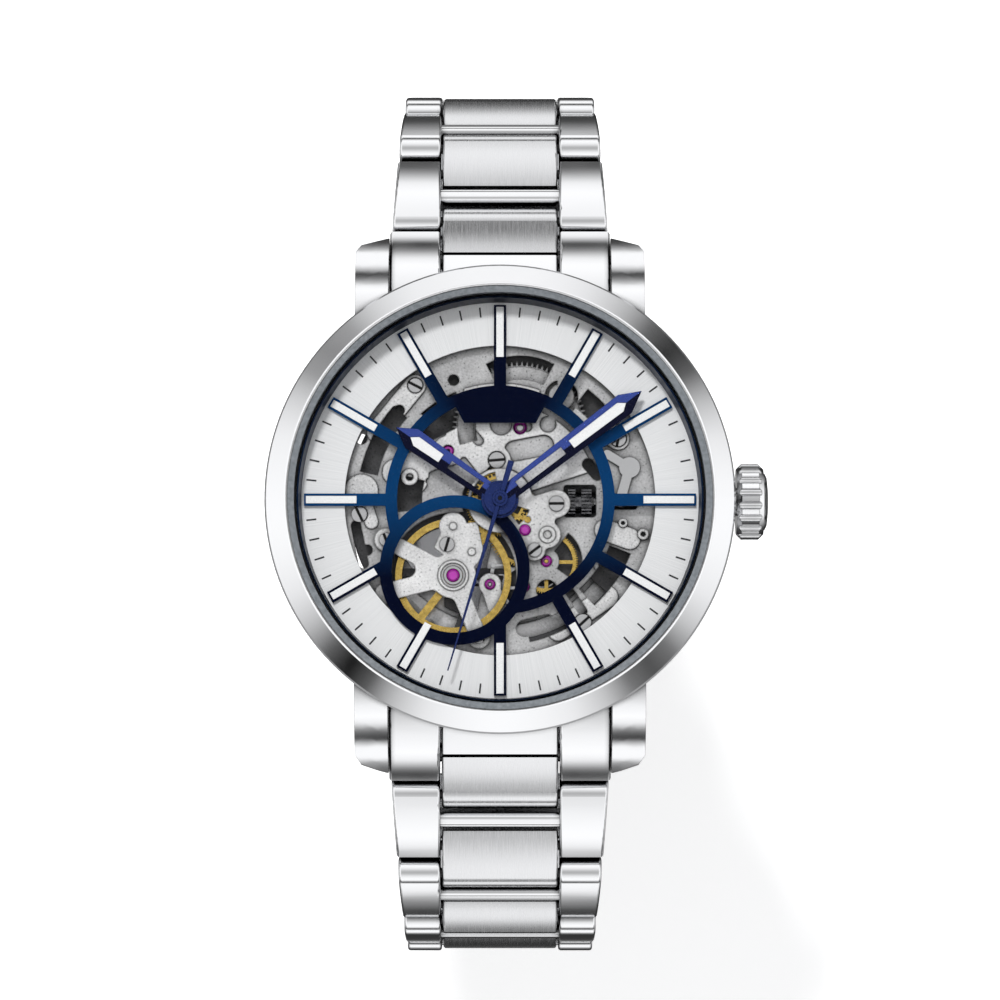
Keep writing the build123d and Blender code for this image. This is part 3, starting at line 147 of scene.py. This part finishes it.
class Shader(Nodes):
    """A node material that starts from the principled surface."""

    def __init__(self, name):
        self.material = bpy.data.materials.new(name)
        self.material.use_nodes = True
        super().__init__(self.material.node_tree)
        self.surface = self.tree.nodes["Principled BSDF"]
        self.place = self.node("ShaderNodeTexCoord").outputs["Object"]

    def set(self, **values):
        for key, value in values.items():
            self.surface.inputs[key.replace("_", " ")].default_value = value

    def feed(self, **sources):
        for key, source in sources.items():
            self.link(source, self.surface.inputs[key.replace("_", " ")])

    def scaled(self, scale, place=None):
        mapping = self.node("ShaderNodeMapping")
        mapping.inputs["Scale"].default_value = scale
        self.link(place or self.place, mapping.inputs["Vector"])
        return mapping.outputs["Vector"]

    def noise(self, scale, detail=2.0, stretch=(1, 1, 1), place=None):
        made = self.node("ShaderNodeTexNoise")
        made.inputs["Scale"].default_value = scale
        made.inputs["Detail"].default_value = detail
        self.link(self.scaled(stretch, place), made.inputs["Vector"])
        return made.outputs["Fac"]

    def spread(self, factor, low, high, start=0.3, end=0.7):
        """Turns a factor into a value between low and high."""
        made = self.node("ShaderNodeMapRange")
        made.inputs["From Min"].default_value = start
        made.inputs["From Max"].default_value = end
        made.inputs["To Min"].default_value = low
        made.inputs["To Max"].default_value = high
        self.link(factor, made.inputs["Value"])
        return made.outputs["Result"]

    def blended(self, first, second, second_share):
        """Adds two factors by their shares."""
        return self.maths(
            "ADD",
            self.maths("MULTIPLY", first, 1 - second_share),
            self.maths("MULTIPLY", second, second_share),
        )

    def bump(self, height, strength, distance):
        made = self.node("ShaderNodeBump")
        made.inputs["Strength"].default_value = strength
        made.inputs["Distance"].default_value = distance
        self.link(height, made.inputs["Height"])
        self.feed(Normal=made.outputs["Normal"])

    def base_with_painted_gap_shade(self, tone, reach, darkest):
        """Base colour with painted shade: it falls towards black in narrow gaps and inner corners, where
        shadow falls.

        The reach is in millimetres.
        """
        open_sky = self.node("ShaderNodeAmbientOcclusion", samples=6)
        open_sky.inputs["Distance"].default_value = reach * MM
        share = self.spread(open_sky.outputs["AO"], darkest, 1.0, 0.42, 0.92)
        self.feed(Base_Color=self.mixed(tone, share, blend="MULTIPLY"))

    def paint_dark_edge_reflection(self, tone, width):
        """Paints a dark line along every edge into the colour: a painted reflection of the dark side, as a
        bevelled edge would mirror it.
        """
        rounded = self.node("ShaderNodeBevel", samples=4)
        rounded.inputs["Radius"].default_value = width * MM
        plain = self.node("ShaderNodeNewGeometry")
        agreement = self.node("ShaderNodeVectorMath", operation="DOT_PRODUCT")
        self.link(rounded.outputs["Normal"], agreement.inputs[0])
        self.link(plain.outputs["True Normal"], agreement.inputs[1])
        share = self.spread(agreement.outputs["Value"], 0.03, 1.0, 0.86, 0.975)
        return self.mixed(tone, share, blend="MULTIPLY")

    def angle(self):
        """The angle about the hand axis, in radians."""
        place = self.parts(self.place)
        return self.maths("ARCTAN2", place["Y"], place["X"])

    def radius(self):
        """The distance from the hand axis, in metres."""
        made = self.node("ShaderNodeVectorMath", operation="LENGTH")
        self.link(self.scaled((1, 1, 0)), made.inputs[0])
        return made.outputs["Value"]

    def polar_noise(self, radius_scale, angle_scale, detail):
        """Noise that runs round the hand axis."""
        joined = self.node("ShaderNodeCombineXYZ")
        self.link(self.maths("MULTIPLY", self.radius(), radius_scale), joined.inputs["X"])
        self.link(self.maths("MULTIPLY", self.angle(), angle_scale), joined.inputs["Y"])
        return self.noise(1.0, detail, place=joined.outputs[0])


# ---- finishes ----


def polished_steel(name, low=0.10, high=0.16, outline=0.0):
    """Mirror steel with faint hairline scratches, a slightly uneven polish and painted shade in gaps and inner
    corners.

    An outline gives the width, in millimetres, of a painted dark reflection along every edge.
    """
    s = Shader(name)
    s.set(Metallic=1.0)
    haze = s.noise(160, 3)
    tone = s.ramp(haze, (0.3, tint(STEEL, 0.985)), (0.7, STEEL))
    # painted reflection: a dark line along every edge
    if outline:
        tone = s.paint_dark_edge_reflection(tone, outline)
    # painted shade: the colour falls towards black in gaps and inner corners
    s.base_with_painted_gap_shade(tone, 0.7, 0.04)
    s.feed(Roughness=s.spread(haze, low, high))
    s.bump(s.noise(2600, 2, (1, 0.08, 0.3)), 0.03, HAIRLINE)
    return s.material


def strap_brushed_steel():
    """Steel brushed along the bracelet: the grain is fine across it and long along it."""
    s = Shader("brushed_steel_links")
    s.set(Metallic=1.0)
    grain = s.noise(1.0, 4, (30000, 500, 500))
    tone = s.ramp(
        s.blended(grain, s.noise(70, 2), 0.3),
        (0.3, tint(SATIN_STEEL, 0.9)),
        (0.7, tint(SATIN_STEEL, 1.07)),
    )
    # painted shade: the colour falls towards black in the gaps between links and in inner corners
    s.base_with_painted_gap_shade(tone, 0.7, 0.06)
    s.feed(Roughness=s.spread(grain, 0.17, 0.3))
    s.bump(grain, 0.35, GRAIN_RELIEF)
    return s.material


def ring_brushed_steel():
    """Steel brushed in circles about the hand axis."""
    s = Shader("ring_brushed_back")
    s.set(Base_Color=(*SATIN_STEEL, 1), Metallic=1.0)
    grain = s.polar_noise(26000, 3, 3)
    s.feed(Roughness=s.spread(grain, 0.22, 0.42))
    s.bump(grain, 0.3, GRAIN_RELIEF)
    return s.material


def silver_dial():
    """Silvered dial with a fine satin brush and a soft sunray sheen."""
    s = Shader("silver_dial_satin")
    s.set(Metallic=0.25, Specular_IOR_Level=0.3)
    rays = s.polar_noise(60, 140, 2)
    weave = s.noise(1.0, 2, (9000, 500, 500))
    s.feed(
        Base_Color=s.ramp(rays, (0.25, (0.74, 0.75, 0.755)), (0.75, (0.88, 0.885, 0.89))),
        Roughness=s.spread(weave, 0.34, 0.5),
    )
    s.bump(weave, 0.12, FINE_RELIEF)
    return s.material


def blue_lacquer(name, dark, light):
    """Blue metallic lacquer with painted light and shade: painted near navy along the 12-6 line and low on the
    dial, painted brighter at 9 and 3.
    """
    s = Shader(name)
    s.set(Metallic=0.6, Roughness=0.42, Specular_IOR_Level=0.06)
    # painted light and shade: the tone follows where light falls on the dial
    side = s.maths("ABSOLUTE", s.maths("COSINE", s.angle()))
    upper = s.spread(s.parts(s.place)["Y"], 0.0, 1.0, -7 * MM, 0.0)
    lit = s.maths("MULTIPLY", upper, s.spread(side, 0.0, 1.0, 0.4, 0.98))
    tone = s.ramp(lit, (0.0, dark), (1.0, light))
    flakes = s.noise(9000, 2)
    speckle = s.ramp(flakes, (0.35, (0.55, 0.55, 0.6)), (0.65, (1, 1, 1)))
    s.feed(Base_Color=s.mixed(tone, speckle, 0.5, "MULTIPLY"))
    s.bump(flakes, 0.1, FINE_RELIEF)
    return s.material


def facet_blue():
    """Blued hands with painted light and shade: the facet that faces 12 o'clock is painted as catching the
    light, the other painted near black.
    """
    s = Shader("blued_steel_facets")
    s.set(Metallic=0.75, Specular_IOR_Level=0.2)
    facing = s.parts(s.node("ShaderNodeNewGeometry").outputs["Normal"])["Y"]
    # painted light and shade: the tone follows the facet's normal, lighter where it faces 12 o'clock
    tone = s.ramp(
        s.spread(facing, 0, 1, -0.12, 0.12),
        (0.3, (0.004, 0.005, 0.022)),
        (0.5, (0.026, 0.045, 0.18)),
        (0.75, (0.042, 0.07, 0.29)),
    )
    # painted reflection: dark lines along the edges of the hands and the hub
    s.feed(Base_Color=s.paint_dark_edge_reflection(tone, 0.1), Roughness=s.spread(s.noise(1200, 2), 0.16, 0.3))
    s.bump(s.noise(5000, 2), 0.04, FINE_RELIEF)
    return s.material


def frosted_nickel(name, colour, stripes=False):
    """Nickel plating with a frosted grain, painted shade in gaps and a painted dark reflection along its
    edges; the back bridges also carry broad parallel stripes.
    """
    s = Shader(name)
    s.set(Metallic=0.6, Specular_IOR_Level=0.4)
    grain = s.noise(5200, 3)
    tone = s.ramp(
        s.blended(grain, s.noise(240, 3), 0.55),
        (0.35, tint(colour, 0.66)),
        (0.65, tint(colour, 1.25)),
    )
    # painted dark reflection along every edge, then painted shade in gaps and inner corners
    s.base_with_painted_gap_shade(s.paint_dark_edge_reflection(tone, 0.2), 1.0, 0.06)
    if stripes:
        wave = s.node("ShaderNodeTexWave", wave_profile="SAW", bands_direction="DIAGONAL")
        wave.inputs["Scale"].default_value = 95
        s.link(s.place, wave.inputs["Vector"])
        s.feed(Roughness=s.spread(wave.outputs["Fac"], 0.16, 0.42, 0, 1))
        s.bump(wave.outputs["Fac"], 0.5, STRIPE_RELIEF)
    else:
        s.feed(Roughness=s.spread(grain, 0.26, 0.46))
        s.bump(grain, 0.3, GRAIN_RELIEF)
    return s.material


def ruby():
    """Polished synthetic ruby, magenta, with a painted dark rim that leaves the core looking lit."""
    s = Shader("ruby_polished")
    s.set(Coat_Weight=1.0, Coat_Roughness=0.02, Specular_IOR_Level=0.7)
    cloud = s.noise(900, 2)
    tone = s.ramp(cloud, (0.3, (0.30, 0.006, 0.26)), (0.7, (0.5, 0.03, 0.44)))
    # painted shade: a dark rim along the jewel's edges
    s.feed(Base_Color=s.paint_dark_edge_reflection(tone, 0.22), Roughness=s.spread(cloud, 0.04, 0.09))
    return s.material


def clear_crystal():
    """A coated crystal: almost invisible, with a faint sheen and a trace of smears."""
    s = Shader("clear_crystal")
    s.set(Base_Color=(0.01, 0.012, 0.015, 1), Alpha=0.02, Specular_IOR_Level=0.3)
    s.feed(Roughness=s.spread(s.noise(90, 3), 0.02, 0.06))
    return s.material


def grained(name, dark, light, noise, relief=0.0, gloss=None, **values):
    """A finish whose tone, relief and, where a gloss range is given, roughness follow one noise."""
    s = Shader(name)
    s.set(**values)
    grain = s.noise(*noise)
    s.feed(Base_Color=s.ramp(grain, (0.3, dark), (0.7, light)))
    if gloss:
        s.feed(Roughness=s.spread(grain, *gloss))
    if relief:
        s.bump(grain, relief, FINE_RELIEF)
    return s.material


METAL_GLOSS = (0.16, 0.34)

POLISHED = polished_steel("polished_steel_case")
# the next three steels carry a painted dark reflection along every edge, widest on the crown steel
EDGE_REFLECTION_STEEL = polished_steel("polished_steel_painted_edge_reflection", low=0.06, high=0.1, outline=0.17)
CASE_STEEL = polished_steel("polished_steel_case_parts", outline=0.1)
SMALL_STEEL = polished_steel("polished_steel_small", low=0.12, high=0.2, outline=0.1)
ALONG_STRAP = strap_brushed_steel()
RING_BRUSHED = ring_brushed_steel()
DIAL = silver_dial()
FRAME_BLUE = blue_lacquer("blue_lacquer_frame", (0.001, 0.003, 0.018), (0.004, 0.055, 0.18))
REHAUT_BLUE = blue_lacquer("blue_lacquer_rehaut", (0.004, 0.009, 0.022), (0.006, 0.018, 0.05))
BLUED = facet_blue()
LUME = grained(
    "white_lume_paint",
    (0.80, 0.81, 0.81),
    (0.92, 0.925, 0.92),
    noise=(7000, 3),
    relief=0.12,
    Roughness=0.55,
)
# one frosted nickel at lit and shaded tones: the light copy is painted light, the shadow and wall copies are
# painted shade
NICKEL = frosted_nickel("frosted_nickel", (0.56, 0.56, 0.565))
NICKEL_PAINTED_LIGHT = frosted_nickel("frosted_nickel_painted_light", (0.88, 0.88, 0.885))
NICKEL_PAINTED_SHADE = frosted_nickel("frosted_nickel_shadow", (0.08, 0.08, 0.083))
WALL_PAINTED_SHADE = frosted_nickel("nickel_wall_painted_shade", (0.025, 0.025, 0.027))
STRIPED = frosted_nickel("striped_nickel", (0.78, 0.78, 0.79), stripes=True)
RUBY = ruby()
GILT = grained(
    "gilt_brass_wheels",
    tint(BRASS, 0.78),
    tint(BRASS, 1.12),
    noise=(1.0, 3, (2600, 2600, 300)),
    relief=0.12,
    gloss=METAL_GLOSS,
    Metallic=1.0,
)
DARK = grained(
    "dark_oiled_steel",
    (0.05, 0.05, 0.055),
    (0.2, 0.2, 0.21),
    noise=(2200, 3),
    relief=0.2,
    gloss=METAL_GLOSS,
    Metallic=1.0,
)
CRYSTAL = clear_crystal()
SEAL = grained(
    "grey_seal",
    (0.15, 0.165, 0.18),
    (0.24, 0.26, 0.28),
    noise=(2500, 3),
    relief=0.15,
    Roughness=0.4,
    Metallic=0.2,
)
BLACK_PRINT = grained(
    "printed_black",
    (0.012, 0.012, 0.014),
    (0.03, 0.03, 0.035),
    noise=(8000, 2),
    Roughness=0.5,
)

# nodes with a single finish; those with several follow below
FINISHES = {
    "mid_case": CASE_STEEL,
    "bezel": CASE_STEEL,
    "crystal": CRYSTAL,
    "gaskets": SEAL,
    "rehaut_ring": REHAUT_BLUE,
    "case_back": RING_BRUSHED,
    "case_back_glass": CRYSTAL,
    "crown_tube": POLISHED,
    "spring_bars": POLISHED,
    # painted shade: the movement ring gets the near black shadow copy of the nickel
    "movement_ring": NICKEL_PAINTED_SHADE,
    "dial_ring": DIAL,
    "dial_frame": FRAME_BLUE,
    "hour_markers": LUME,
    "hairspring": GILT,
    "seconds_hand": BLUED,
    "hour_wheel": GILT,
    "minute_wheel": GILT,
    "centre_wheel": GILT,
    "third_wheel": GILT,
    "fourth_wheel": GILT,
    "seconds_pinion": POLISHED,
    "escape_wheel": SMALL_STEEL,
    "pallet_fork": SMALL_STEEL,
    "balance_wheel": GILT,
    "mainspring_barrel": NICKEL,
    "ratchet_wheel": POLISHED,
    "rotor": STRIPED,
    "sliding_pinion": DARK,
    "winding_stem": POLISHED,
    "crown": EDGE_REFLECTION_STEEL,
    "setting_lever": SMALL_STEEL,
    "clasp_blade_middle": RING_BRUSHED,
    "clasp_blade_inner": POLISHED,
    "clasp_button_right": CASE_STEEL,
    "clasp_button_left": CASE_STEEL,
}


def give(node, *materials):
    slots = NODES[node].data.materials
    slots.clear()
    for material in materials:
        slots.append(material)


def give_two(node, first, second, test):
    """The second material goes to the faces whose centre, in millimetres, and normal pass the test."""
    give(node, first, second)
    for polygon in NODES[node].data.polygons:
        polygon.material_index = 1 if test(polygon.center / MM, polygon.normal) else 0


for node, finish in FINISHES.items():
    give(node, finish)


# ---- several finishes, or painted light and shade, on one CAD node, lengths in millimetres ----

HOUR_HEADING = 304.7
MINUTE_HEADING = 52.7
LUME_HALF_WIDTH = 0.475
LUME_LEVELS = (0.03, 0.27)
CENTRE_HALF_WIDTH = 5.34
SIDE_SLACK = 0.01
BRUSHED_START = 3.0
NECK_END_Y = 22.75
CLASP_FACE_HALF_WIDTH = 8.8
JEWEL_SETTING_RADII = (0.61, 0.9)
SCREW_TOPS = (6.49, 6.94, 7.19)
LEVEL_SLACK = 0.03


def hand_lume(node, heading, start, end):
    """The lume insert of a hand lies in its window, between two levels above the hand's underside."""
    along = Vector((math.sin(math.radians(heading)), math.cos(math.radians(heading)), 0))
    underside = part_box(node)[0][2] / MM
    low, high = LUME_LEVELS

    def in_window(centre, normal):
        reach = centre.dot(along)
        side = abs(centre.x * along.y - centre.y * along.x)
        inside = start < reach < end and side < LUME_HALF_WIDTH
        return inside and underside + low < centre.z < underside + high

    give_two(node, BLUED, LUME, in_window)


def brushed_centre(node, start_pin, end_pin):
    """The middle piece of a link is brushed; the H piece round it is polished."""
    along = (end_pin - start_pin).normalized()

    def is_centre(centre, normal):
        in_row = abs(centre.x) < CENTRE_HALF_WIDTH + SIDE_SLACK
        return in_row and (centre - start_pin).dot(along) > BRUSHED_START

    give_two(node, POLISHED, ALONG_STRAP, is_centre)


def pin_of(joint):
    return Vector(JOINTS[joint]["pos_m"]) / MM


def is_end_link_centre(centre, normal):
    return abs(centre.x) < CENTRE_HALF_WIDTH and abs(centre.y) > NECK_END_Y and normal.z > 0.2


def is_clasp_face(centre, normal):
    return normal.z < -0.8 and abs(centre.x) < CLASP_FACE_HALF_WIDTH


def is_jewel_setting(centre, normal):
    """The polished collar round the balance jewel."""
    inner, outer = JEWEL_SETTING_RADII
    return inner < math.hypot(centre.x - balance_axis.x, centre.y - balance_axis.y) < outer


def is_below_screw_top(centre, normal):
    return min(abs(centre.z - top) for top in SCREW_TOPS) > LEVEL_SLACK


def is_back_face(centre, normal):
    return normal.z < -0.5


hand_lume("hour_hand", HOUR_HEADING, 6.43, 9.75)
hand_lume("minute_hand", MINUTE_HEADING, 8.03, 14.15)

for side in ("upper", "lower"):
    pins = [pin_of(f"{side}_link_{i}_hinge") for i in range(1, LINKS_PER_SIDE + 1)]
    last = pin_of("clasp_strand_hinge")
    pins.append(last if side == "upper" else Vector((last.x, -last.y, last.z)))
    for i in range(LINKS_PER_SIDE):
        brushed_centre(f"{side}_link_{i + 1}", pins[i], pins[i + 1])

balance_axis = pin_of("balance_swing")
give_two("end_links", POLISHED, ALONG_STRAP, is_end_link_centre)
give_two("clasp_cover", CASE_STEEL, ALONG_STRAP, is_clasp_face)
give_two("plate_jewels", RUBY, POLISHED, is_jewel_setting)
# painted shade: the screws' faces away from their tops get the near black wall copy
give_two("plate_screws", SMALL_STEEL, WALL_PAINTED_SHADE, is_below_screw_top)
# painted shade: the train bridge gets the near black shadow copy, all but its striped back
give_two("train_bridge", NICKEL_PAINTED_SHADE, STRIPED, is_back_face)

# the levels above which a face is a raised pad, and the plate under the pads
MOVEMENT_PLATES = {
    "main_plate": (6.45, 6.2),
    "balance_bridge": (6.7, 6.7),
    "pallet_bridge": (5.2, 5.2),
    "motion_works_cover": (6.95, 6.95),
}


def paint_plate_light_and_shade(node, pad_level, plate_level):
    """Painted light and shade: bright frosted pads painted as lit, a greyer plate under them and near black
    walls painted as shade, so that every step reads.
    """
    give(node, NICKEL_PAINTED_LIGHT, NICKEL, WALL_PAINTED_SHADE)
    for polygon in NODES[node].data.polygons:
        height = polygon.center.z / MM
        if abs(polygon.normal.z) < 0.5:
            polygon.material_index = 2
        elif height > pad_level:
            polygon.material_index = 0
        elif height > plate_level:
            polygon.material_index = 1
        else:
            polygon.material_index = 2


for node, (pad_level, plate_level) in MOVEMENT_PLATES.items():
    paint_plate_light_and_shade(node, pad_level, plate_level)


# ---- the piece made here, lengths in millimetres ----

STROKE_START = 16.5
STROKE_END = 17.4
STROKE_HALF_WIDTH = 0.075
STROKE_LEVELS = (0.001, 0.02)


def new_object(name, mesh_work, material):
    """Makes an object from bmesh code."""
    mesh = bpy.data.meshes.new(name)
    work = bmesh.new()
    mesh_work(work)
    work.to_mesh(mesh)
    work.free()
    mesh.materials.append(material)
    made = bpy.data.objects.new(name, mesh)
    bpy.context.scene.collection.objects.link(made)
    return made


def add_prism(work, outline, low, high):
    """Adds a closed prism between two heights."""
    bottom = [work.verts.new((x * MM, y * MM, low * MM)) for x, y in outline]
    top = [work.verts.new((x * MM, y * MM, high * MM)) for x, y in outline]
    work.faces.new(list(reversed(bottom)))
    work.faces.new(top)
    count = len(outline)
    for i in range(count):
        following = (i + 1) % count
        work.faces.new((bottom[i], bottom[following], top[following], top[i]))


def minute_track(work):
    """Short printed strokes for the minutes between the hour spokes."""
    dial_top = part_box("dial_ring")[1][2] / MM
    low, high = STROKE_LEVELS
    for minute in range(60):
        if minute % 5 == 0:
            continue
        angle = math.radians(6 * minute)
        along = Vector((math.sin(angle), math.cos(angle)))
        across = Vector((along.y, -along.x)) * STROKE_HALF_WIDTH
        start, end = along * STROKE_START, along * STROKE_END
        corners = (start - across, start + across, end + across, end - across)
        add_prism(work, [tuple(corner) for corner in corners], dial_top + low, dial_top + high)
    bmesh.ops.recalc_face_normals(work, faces=work.faces)


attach(new_object("minute_track", minute_track, BLACK_PRINT), "case")


# ---- stage, light and camera ----

# the opened strands and the unfolded clasp reach this far below the closed bracelet
OPEN_REACH = 0.026
FLOOR_RADIUS = 1.6

# grey levels by the angle from the zenith, as a share of a half turn
OVERHEAD = (
    (0.0, 0.5),
    (0.05, 0.6),
    (0.12, 0.9),
    (0.18, 1.1),
    (0.28, 1.25),
    (0.32, 1.1),
    (0.345, 0.7),
    (0.365, 0.36),
    (0.385, 0.16),
    (0.41, 0.05),
    (0.5, 0.04),
    (0.54, 0.35),
    (0.57, 0.75),
    (0.6, 0.7),
    (0.66, 0.3),
    (0.72, 0.08),
    (0.8, 0.03),
    (0.9, 0.05),
    (0.96, 0.35),
    (1.0, 0.1),
)
# grey levels of the walls of the studio, from a diagonal (0) to an axis (1)
SIDE_LOBES = ((0.0, 0.0), (0.25, 0.12), (0.5, 0.62), (0.75, 1.0), (1.0, 1.2))
# how far those walls replace the overhead levels, by the same angle from the zenith
SIDE_SHARE = ((0.42, 0.0), (0.47, 1.0), (0.57, 1.0), (0.62, 0.0))
# light added to the diagonal that runs from the upper left to the lower right, most at the upper left
DIAGONAL_LIGHT = 0.09
UPPER_DIAGONAL_EXTRA = 0.2
# keeps a division by the horizontal length finite straight up and down
TINY = 0.0001

CAMERA_DISTANCE = 0.5
CAMERA_ELEVATION = math.radians(85.0)
FRAME_WIDTH = 0.08936
SENSOR = 36.0


def pale_floor():
    """A pale floor below every pose. It is clear from below, so that the back of the watch can be seen."""
    s = Shader("pale_floor")
    s.set(Base_Color=(0.97, 0.97, 0.97, 1), Roughness=0.8, Specular_IOR_Level=0.05)
    s.set(Emission_Color=(1, 1, 1, 1), Emission_Strength=0.56)
    from_below = s.node("ShaderNodeNewGeometry").outputs["Backfacing"]
    clear = s.node("ShaderNodeBsdfTransparent").outputs[0]
    s.show_shared(from_below, s.surface.outputs[0], clear, "Material Output")

    def disc(work):
        bmesh.ops.create_circle(work, cap_ends=True, segments=96, radius=FLOOR_RADIUS)

    floor = new_object("floor", disc, s.material)
    floor.location.z = cad_box[0][2] - OPEN_REACH
    floor.visible_glossy = False


def studio_world():
    """A white tent for plain light. Reflections see a studio instead: soft boxes overhead, dark flags low down
    at the diagonals and dark below, which polished metal needs to show its edges."""
    world = bpy.data.worlds.new("studio")
    bpy.context.scene.world = world
    world.use_nodes = True
    w = Nodes(world.node_tree)
    x, y, z = w.parts(w.node("ShaderNodeTexCoord").outputs["Generated"])
    from_zenith = w.maths("DIVIDE", w.maths("ARCCOSINE", z), math.pi)
    x2 = w.maths("MULTIPLY", x, x)
    y2 = w.maths("MULTIPLY", y, y)
    level_length2 = w.maths("ADD", w.maths("ADD", x2, y2), TINY)
    lobe = w.maths("ABSOLUTE", w.maths("DIVIDE", w.maths("SUBTRACT", x2, y2), level_length2))
    minus_2xy = w.maths("MULTIPLY", w.maths("MULTIPLY", x, y), -2.0)
    diagonal = w.maths("MAXIMUM", w.maths("DIVIDE", minus_2xy, level_length2), 0.0)
    extra = w.maths("MULTIPLY", w.maths("GREATER_THAN", y, 0.0), UPPER_DIAGONAL_EXTRA)
    diagonal_light = w.maths(
        "MULTIPLY",
        w.maths("POWER", diagonal, 3.0),
        w.maths("ADD", extra, DIAGONAL_LIGHT),
    )
    sides = w.mixed(w.grey_ramp(lobe, SIDE_LOBES), diagonal_light, blend="ADD")
    studio = w.mixed(
        w.grey_ramp(from_zenith, OVERHEAD),
        sides,
        w.grey_ramp(from_zenith, SIDE_SHARE),
    )
    reflected = w.node("ShaderNodeBackground")
    w.link(studio, reflected.inputs["Color"])
    tent = w.tree.nodes["Background"]
    tent.inputs["Color"].default_value = (0.97, 0.98, 1.0, 1)
    tent.inputs["Strength"].default_value = 0.34
    is_reflection = w.node("ShaderNodeLightPath").outputs["Is Glossy Ray"]
    w.show_shared(is_reflection, tent.outputs[0], reflected.outputs[0], "World Output")


def soft_light(name, place, size, power):
    """A round soft lamp that faces the watch and doesn't show in its reflections."""
    light = bpy.data.lights.new(name, "AREA")
    light.shape = "DISK"
    light.size = size
    light.energy = power
    lamp = bpy.data.objects.new(name, light)
    lamp.location = place
    lamp.visible_glossy = False
    lamp.rotation_euler = (-Vector(place)).to_track_quat("-Z", "Y").to_euler()
    bpy.context.scene.collection.objects.link(lamp)


def product_camera():
    """A long lens above the dial, tipped a little towards 6 o'clock."""
    data = bpy.data.cameras.new("camera")
    data.sensor_width = SENSOR
    data.lens = SENSOR * CAMERA_DISTANCE / FRAME_WIDTH
    data.clip_start = 0.01
    data.clip_end = 10
    camera = bpy.data.objects.new("camera", data)
    target = Vector((0, 0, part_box("dial_ring")[1][2]))
    back = Vector((0, -math.cos(CAMERA_ELEVATION), math.sin(CAMERA_ELEVATION)))
    camera.location = target + back * CAMERA_DISTANCE
    camera.rotation_mode = "QUATERNION"
    camera.rotation_quaternion = (-back).to_track_quat("-Z", "Y")
    bpy.context.scene.collection.objects.link(camera)
    bpy.context.scene.camera = camera


pale_floor()
studio_world()
soft_light("key", (-0.16, 0.5, 0.92), 0.16, 9)
soft_light("fill", (0.1, -0.2, 1.2), 1.0, 1.5)
product_camera()
bpy.context.scene.view_settings.view_transform = "Standard"
